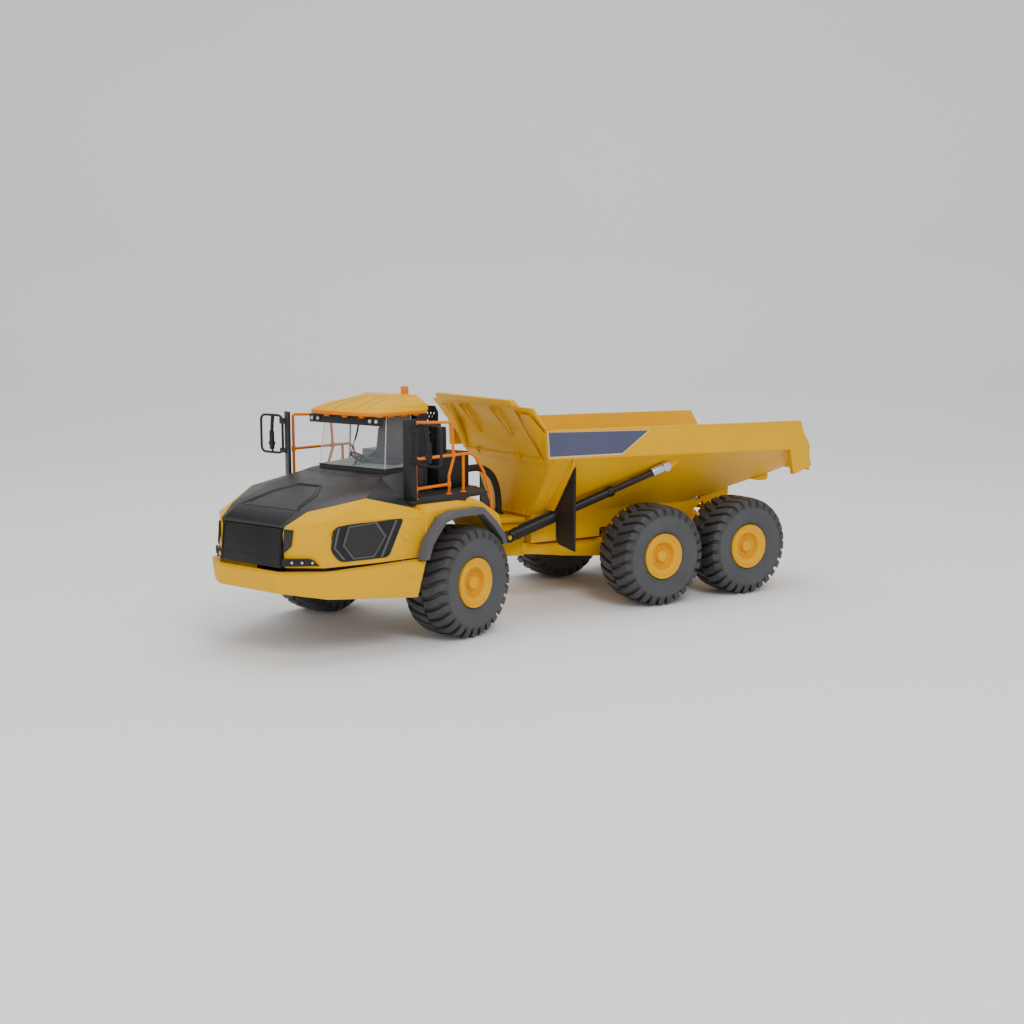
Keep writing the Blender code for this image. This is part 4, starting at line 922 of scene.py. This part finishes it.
def mirror(name, side):
    """The flat post on the deck, the mirror's bent frame and the arm inside it."""
    along = Vector((-0.42, 0.91, 0.0)).normalized()
    across = Vector((along.y, -along.x, 0.0))
    core = Vector((MIRROR_X, RAIL_Y, 0.0))
    corners = [core + along * u + across * v
               for u, v in ((-6.5, -1.3), (6.5, -1.3), (6.5, 1.3), (-6.5, 1.3))]
    near, far = MIRROR_X - 1.4, MIRROR_X + 1.4
    post = merge(loft([[(p.x, p.y, z) for p in corners] for z in (DECK_Z, 219.0)]),
                 block(near, far, 86.0, 96.0, 206.0, 212.0),
                 block(near, far, 86.0, 96.0, 176.0, 181.0))
    finish_piece("mirror_post_" + name, mirrored(post, side), BLACK, FRONT, CAB, bevel=0.4)
    path = rounded([(MIRROR_X, y, z) for y, z in ((92.5, 175.6), (125.0, 175.6), (125.0, 214.4),
                                                  (92.5, 214.4))], 7.0, 6, ring=True)
    finish_piece("mirror_frame_" + name, mirrored(tube(path + path[:1], 1.35, 10), side), BLACK,
                 FRONT, CAB, smooth=50.0, replaces=("mirror_" + name,))
    arm = merge(tube([(MIRROR_X, 107.0, 214.0), (133.6, 107.6, 205.0), (MIRROR_X, 109.0, 196.0)],
                     1.9, 10),
                block(near, far, 106.6, 111.6, 178.6, 198.0),
                block(near - 0.4, far + 0.4, 105.8, 112.4, 183.0, 187.0),
                tube([(MIRROR_X, 109.0, 180.0), (MIRROR_X, 108.2, 175.8)], 1.1, 8))
    finish_piece("mirror_arm_" + name, mirrored(arm, side), BLACK, FRONT, CAB, bevel=0.3)


def rails_and_mirrors():
    for name, side in SIDES:
        handrail(name, side)
        mirror(name, side)


HOSE_ROUTE = ((-83.0, -6.0, 99.0), (-83.0, -6.0, 112.0), (-80.0, -5.0, 128.0),
              (-71.0, -3.0, 143.0), (-56.0, -1.0, 151.0), (-38.0, 1.0, 151.0),
              (-20.0, 2.0, 146.0), (-8.0, 3.0, 140.0))


def hose():
    """A smooth curve through the route, ribbed, running between the hitch and the front unit."""
    route = [Vector(p) for p in HOSE_ROUTE]
    path = []
    steps = 24
    for i in range(len(route) - 1):
        p0, p1 = route[max(0, i - 1)], route[i]
        p2, p3 = route[i + 1], route[min(len(route) - 1, i + 2)]
        for k in range(steps):
            t = k / steps
            path.append(0.5 * (2 * p1 + (p2 - p0) * t + (2 * p0 - 5 * p1 + 4 * p2 - p3) * t * t
                               + (3 * p1 - p0 - 3 * p2 + p3) * t ** 3))
    path.append(route[-1])
    hose_mesh = tube(path, 3.6, 18, ripple=(0.0, 0.0, 0.45, 0.45))
    made = finish_piece("hose_corrugated", hose_mesh, HOSE, REAR, None, smooth=60.0,
                        replaces=("hose",))
    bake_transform(made)
    ring = lathe([(0.3, 3.7), (0.3, 6.2), (1.6, 6.0), (2.4, 4.8), (2.4, 3.7)], (-83.0, -6.0, 97.5),
                 UP, 28)
    finish_piece("hose_gland", ring, BLACK, REAR, "hitch")


# ---------------------------------------------------------------- rear unit
def mudflap(name, side):
    soften("mudflap_" + name, BROWN_BLACK, 0.3)
    ribs = [strip([(FLAP_X, 64.4, 78.0), (FLAP_X, 64.4, 109.0), (FLAP_X, 96.6, 153.5)], AHEAD,
                  1.4, 0.5),
            strip([(FLAP_X - 0.1, 97.0, 70.0), (FLAP_X - 0.1, 97.0, 154.0)], AHEAD, 1.0, 0.4)]
    for y, z in ((70.0, 112.0), (80.0, 126.0), (90.0, 140.0)):
        ribs.append(bolt((FLAP_X - 0.2, y, z), AHEAD, 1.2, 0.9))
    finish_piece("mudflap_ribs_" + name, mirrored(merge(*ribs), side), BROWN_BLACK, REAR,
                 "dump_bed")


def axle_bolts(row, x, place, body):
    """The ring of bolts and the cap on each end of an axle."""
    repaint(row + "_axle", BLACK)
    circle = 10.4
    cap = [(0.0, 0.0), (0.0, 6.35), (0.9, 6.35), (1.5, 5.6), (1.2, 4.8), (1.6, 3.6), (1.6, 0.0)]
    parts = []
    for side in BOTH:
        axis = (0, side, 0)
        for angle in around(WHEEL_BOLTS):
            at = (x + circle * math.cos(angle), side * 13.8,
                  TYRE_RADIUS + circle * math.sin(angle))
            parts.append(bolt(at, axis, 0.9, 1.0))
        parts.append(lathe(cap, (x, side * (RIM_FACE - HUB_DEPTH + 0.05), TYRE_RADIUS), axis, 32,
                           closed=False))
    finish_piece(row + "_axle_bolts", merge(*parts), RIM_YELLOW, place, body)


def rear_body():
    soften("rear_frame", YELLOW, 0.5)
    soften("hitch", BLACK, 0.4)
    for name, side in SIDES:
        soften("bogie_beam_" + name, BLACK, 0.6)
        mudflap(name, side)
    for axle in AXLES:
        axle_bolts(*axle)
    marks = []
    for side in BOTH:
        for x in (-160.0, -172.0, -262.0, -280.0, -298.0):
            marks.append(bolt((x, side * 34.0, 58.0), (0, side, 0), 1.3, 1.0))
    finish_piece("frame_bolts", merge(*marks), YELLOW, REAR, "rear_unit")


BED = "dump_bed"


def bed_side(name, side):
    """The navy band, the rail's edge beads and the stiffeners on one side of the bed."""
    band = [(-76.6, BED_RAIL_Y + 0.15, 196.6), (-206.7, BED_RAIL_Y + 0.15, 193.1),
            (-172.0, BED_RAIL_Y + 0.15, 170.2), (-78.6, BED_RAIL_Y + 0.15, 171.2)]
    sticker = prism(band, Vector((0, -0.25, 0)), Vector((0, 0.05, 0)))
    finish_piece("rail_band_" + name, mirrored(sticker, side), NAVY, REAR, BED)
    border = [(-75.4, BED_RAIL_Y + 0.1, 197.2), (-210.0, BED_RAIL_Y + 0.1, 193.7),
              (-172.3, BED_RAIL_Y + 0.1, 168.6), (-77.4, BED_RAIL_Y + 0.1, 169.6)]
    back = prism(border, Vector((0, -0.25, 0)), Vector())
    finish_piece("rail_band_border_" + name, mirrored(back, side), BORDER, REAR, BED)
    beads = merge(strip([(-78.0, BED_RAIL_Y, 169.2), (-416.0, BED_RAIL_Y, 161.6)], (0, 1, 0),
                        1.2, 0.35),
                  strip([(-76.0, BED_RAIL_Y, 197.3), (-431.0, BED_RAIL_Y, 193.3)], (0, 1, 0),
                        1.0, 0.35))
    finish_piece("rail_edge_lines_" + name, mirrored(beads, side), YELLOW, REAR, BED)
    gusset = prism([(-58.6, 66.0, 216.0), (-57.6, 71.0, 217.0), (-85.4, 79.6, 167.5),
                    (-88.6, 77.0, 163.5)], Vector((-0.6, -0.9, 0)), Vector((2.6, 0.9, 0.6)))
    finish_piece("head_gusset_" + name, mirrored(gusset, side), YELLOW, REAR, BED, bevel=0.35)
    wing = prism([(-57.8, 96.0, 215.0), (-58.4, 78.0, 215.4), (-86.0, 80.0, 169.0),
                  (-79.0, 100.5, 190.0)], Vector((-0.5, 0, 0)), Vector((0.5, 0.0, 0.2)))
    finish_piece("head_wing_" + name, mirrored(wing, side), YELLOW, REAR, BED)
    post = prism([(-113.0, 48.5, 108.0), (-113.0, 53.0, 107.0), (-113.0, 101.6, 168.0),
                  (-113.0, 96.6, 169.0)], Vector((-0.2, 0, 0)), Vector((1.9, 0, 0)))
    finish_piece("wall_post_" + name, mirrored(post, side), YELLOW, REAR, BED, bevel=0.3)


def flat_gusset(y, corners, half):
    """A small plate that stands square to y, its corners given as (x, z)."""
    return prism([(x, y, z) for x, z in corners], Vector((0, -half, 0)), Vector((0, half, 0)))


def bed_head():
    """Ribs, tabs, creases and lip of the head board, and the wall that closes the bed below it."""
    ribs = []
    for y in (-37.0, 29.0):
        for shift in (-6.0, 6.0):
            ribs.append(prism([(-57.4, y + shift * 1.15, 218.4), (-52.6, y + shift * 1.15, 220.0),
                               (-76.6, y + shift * 0.3, 190.0), (-82.2, y + shift * 0.3, 183.6)],
                              Vector((0, -0.7, 0)), Vector((0, 0.7, 0))))
    finish_piece("head_ribs", merge(*ribs), YELLOW, REAR, BED, bevel=0.3)
    tabs = []
    for y in (-54.0, 32.0):
        tabs.append(flat_gusset(y, ((-86.2, 171.5), (-82.8, 166.6), (-88.0, 160.0)), 0.8))
    for y in (-30.0, 0.0, 30.0):
        tabs.append(flat_gusset(y, ((-95.9, 110.5), (-92.6, 100.5), (-97.0, 100.5)), 0.8))
    finish_piece("crease_tabs", merge(*tabs), YELLOW, REAR, BED, bevel=0.2)
    wall = loft([[(back, -half, z), (back, half, z), (face, half, z), (face, -half, z)]
                 for z, half, back, face in ((100.5, 39.2, -98.0, -95.2),
                                             (150.0, 75.5, -98.0, -95.0),
                                             (163.5, 85.2, -94.5, -91.0),
                                             (171.0, 89.5, -90.5, -87.5))])
    finish_piece("bed_front_wall", wall, YELLOW, REAR, BED, bevel=0.2)
    crease = merge(strip([(-86.2, -88.0, 166.2), (-86.2, 88.0, 166.2)], (0.9, 0.0, 0.35), 1.6, 0.5),
                   strip([(-94.4, -40.0, 100.8), (-94.4, 40.0, 100.8)], AHEAD, 1.4, 0.5))
    finish_piece("head_crease", crease, YELLOW, REAR, BED)
    lip = loft([[(x, y, z) for x, z in ((-52.4, 224.4), (-46.8, 223.6), (-44.9, 229.0),
                                        (-50.0, 230.2))] for y in (-79.9, 79.9)])
    finish_piece("head_lip", lip, YELLOW, REAR, BED, bevel=0.6)


def bed():
    soften("bed", YELLOW, 0.45)
    for name, side in SIDES:
        bed_side(name, side)
    bed_head()
    belts = []
    for x in (-160.0, -235.0, -310.0):
        for side in BOTH:
            belts.append(strip([(x, side * 44.4, 103.5), (x, side * 99.2, 166.8)],
                               (0, side * 0.76, -0.65), 1.6, 0.3))
    finish_piece("wall_seams", merge(*belts), YELLOW, REAR, BED)
    corners = ((-404.0, 121.6), (-430.0, 127.4), (-430.0, 120.6), (-426.0, 119.0), (-414.0, 119.4))
    tabs = [prism([(x, side * 50.0, z) for x, z in corners], Vector((0, -side * 1.6, 0)),
                  Vector((0, side * 1.6, 0))) for side in BOTH]
    finish_piece("tail_tabs", merge(*tabs), YELLOW, REAR, BED, bevel=0.3)


def cylinders():
    """Collars and the bright end eye of the tipping cylinders, set out along each one's axis."""
    for name, side in SIDES:
        foot = Vector((CYLINDER_FOOT[0], side * CYLINDER_FOOT[1], CYLINDER_FOOT[2]))
        eye = Vector((CYLINDER_EYE[0], side * CYLINDER_EYE[1], CYLINDER_EYE[2]))
        along = (eye - foot).normalized()
        for part in ("barrel", "tube", "rod"):
            repaint("cylinder_%s_%s" % (part, name), BLACK)
        collar = lathe([(55.0, 6.4), (55.0, 7.2), (56.0, 7.5), (61.0, 7.5), (62.2, 7.0),
                        (62.2, 5.4)], foot, along, 28)
        band = lathe([(9.0, 6.4), (9.0, 7.0), (12.0, 7.0), (12.0, 6.4)], foot, along, 28)
        over = foot + Vector((0, 0, 7.2))
        line = tube([over + along * 12, over + along * 54], 0.9, 8)
        finish_piece("barrel_collar_" + name, merge(collar, band, line), BLACK, REAR,
                     "cylinder_barrel_" + name)
        collar = lathe([(121.5, 4.85), (121.5, 5.5), (122.5, 5.9), (127.0, 5.9), (128.2, 5.4),
                        (128.2, 4.1)], foot, along, 28)
        finish_piece("tube_collar_" + name, collar, BLACK, REAR, "cylinder_tube_" + name)
        end = (eye - foot).length - 17.0
        socket = lathe([(end, 3.7), (end, 4.9), (end + 0.6, 5.3), (end + 12.0, 5.3),
                        (end + 13.6, 4.7), (end + 14.4, 3.2)], foot, along, 28)
        ring = lathe([(-2.95, 0.0), (-2.95, 4.7), (-2.3, 5.4), (3.6, 5.4), (4.4, 4.6), (4.4, 2.8),
                      (4.8, 2.5), (4.8, 0.0)], eye, (0, side, 0), 28, closed=False)
        finish_piece("rod_eye_" + name, merge(socket, ring), SILVER, REAR,
                     "cylinder_rod_" + name)


# ---------------------------------------------------------------- camera, floor and light
CAMERA_SPOT = Vector((0.7202, 1.2994, 0.3237))
CAMERA_TURN = (math.radians(81.68), 0.0, math.radians(147.82))
CAMERA_LENS = 48.893
BACKDROP = ((4.0, 0.0), (-1.6, 0.0), (-2.3, 0.10), (-2.8, 0.5), (-3.0, 1.1), (-3.0, 5.0))
BACKDROP_HALF = 5.0
BACKDROP_TURN = math.radians(-32.0)
SKY = 0.70
LIGHTS_AIM = Vector((0.02, 0.0, 0.1))
LIGHTS = (("key", (0.4, 1.9, 1.9), 1.0, 24.0), ("fill", (1.9, 0.6, 0.9), 1.2, 6.0),
          ("top", (-0.3, -0.4, 2.2), 1.6, 18.0))


def studio():
    """Camera, a pale floor that curves up behind, an even sky and three soft lights, in metres."""
    scene = bpy.context.scene
    data = bpy.data.cameras.new("camera")
    data.sensor_width = 36.0
    data.lens = CAMERA_LENS
    data.clip_start = 0.01
    camera = bpy.data.objects.new("camera", data)
    camera.location = PIVOT + CAMERA_SPOT
    camera.rotation_euler = CAMERA_TURN
    scene.collection.objects.link(camera)
    scene.camera = camera

    paper = material("paper", (0.97, 0.97, 0.97), (0.95, 0.95, 0.95), 0.75, grain=400.0, patch=2.0)
    mesh = bmesh.new()
    rows = []
    for y, z in BACKDROP:
        rows.append([mesh.verts.new((x, y, z)) for x in (-BACKDROP_HALF, BACKDROP_HALF)])
    for a, b in zip(rows, rows[1:]):
        mesh.faces.new((a[0], a[1], b[1], b[0]))
    mesh.transform(Matrix.Rotation(BACKDROP_TURN, 4, "Z"))
    floor_data = bpy.data.meshes.new("floor")
    mesh.to_mesh(floor_data)
    mesh.free()
    floor_data.polygons.foreach_set("use_smooth", [True] * len(floor_data.polygons))
    floor_data.materials.append(paper)
    floor = bpy.data.objects.new("floor", floor_data)
    scene.collection.objects.link(floor)

    world = bpy.data.worlds.new("studio")
    world.use_nodes = True
    sky = world.node_tree.nodes["Background"]
    sky.inputs["Color"].default_value = (1.0, 1.0, 1.0, 1.0)
    sky.inputs["Strength"].default_value = SKY
    scene.world = world
    for name, spot, size, power in LIGHTS:
        lamp = bpy.data.lights.new(name, "AREA")
        lamp.size = size
        lamp.energy = power
        holder = bpy.data.objects.new(name, lamp)
        holder.location = spot
        holder.rotation_euler = (LIGHTS_AIM - Vector(spot)).to_track_quat("-Z", "Y").to_euler()
        scene.collection.objects.link(holder)


studio()
wheels()
hood()
front_body()
cab()
roof()
light_bar()
cab_back()
air_box_louvres()
guard()
rails_and_mirrors()
hose()
rear_body()
bed()
cylinders()
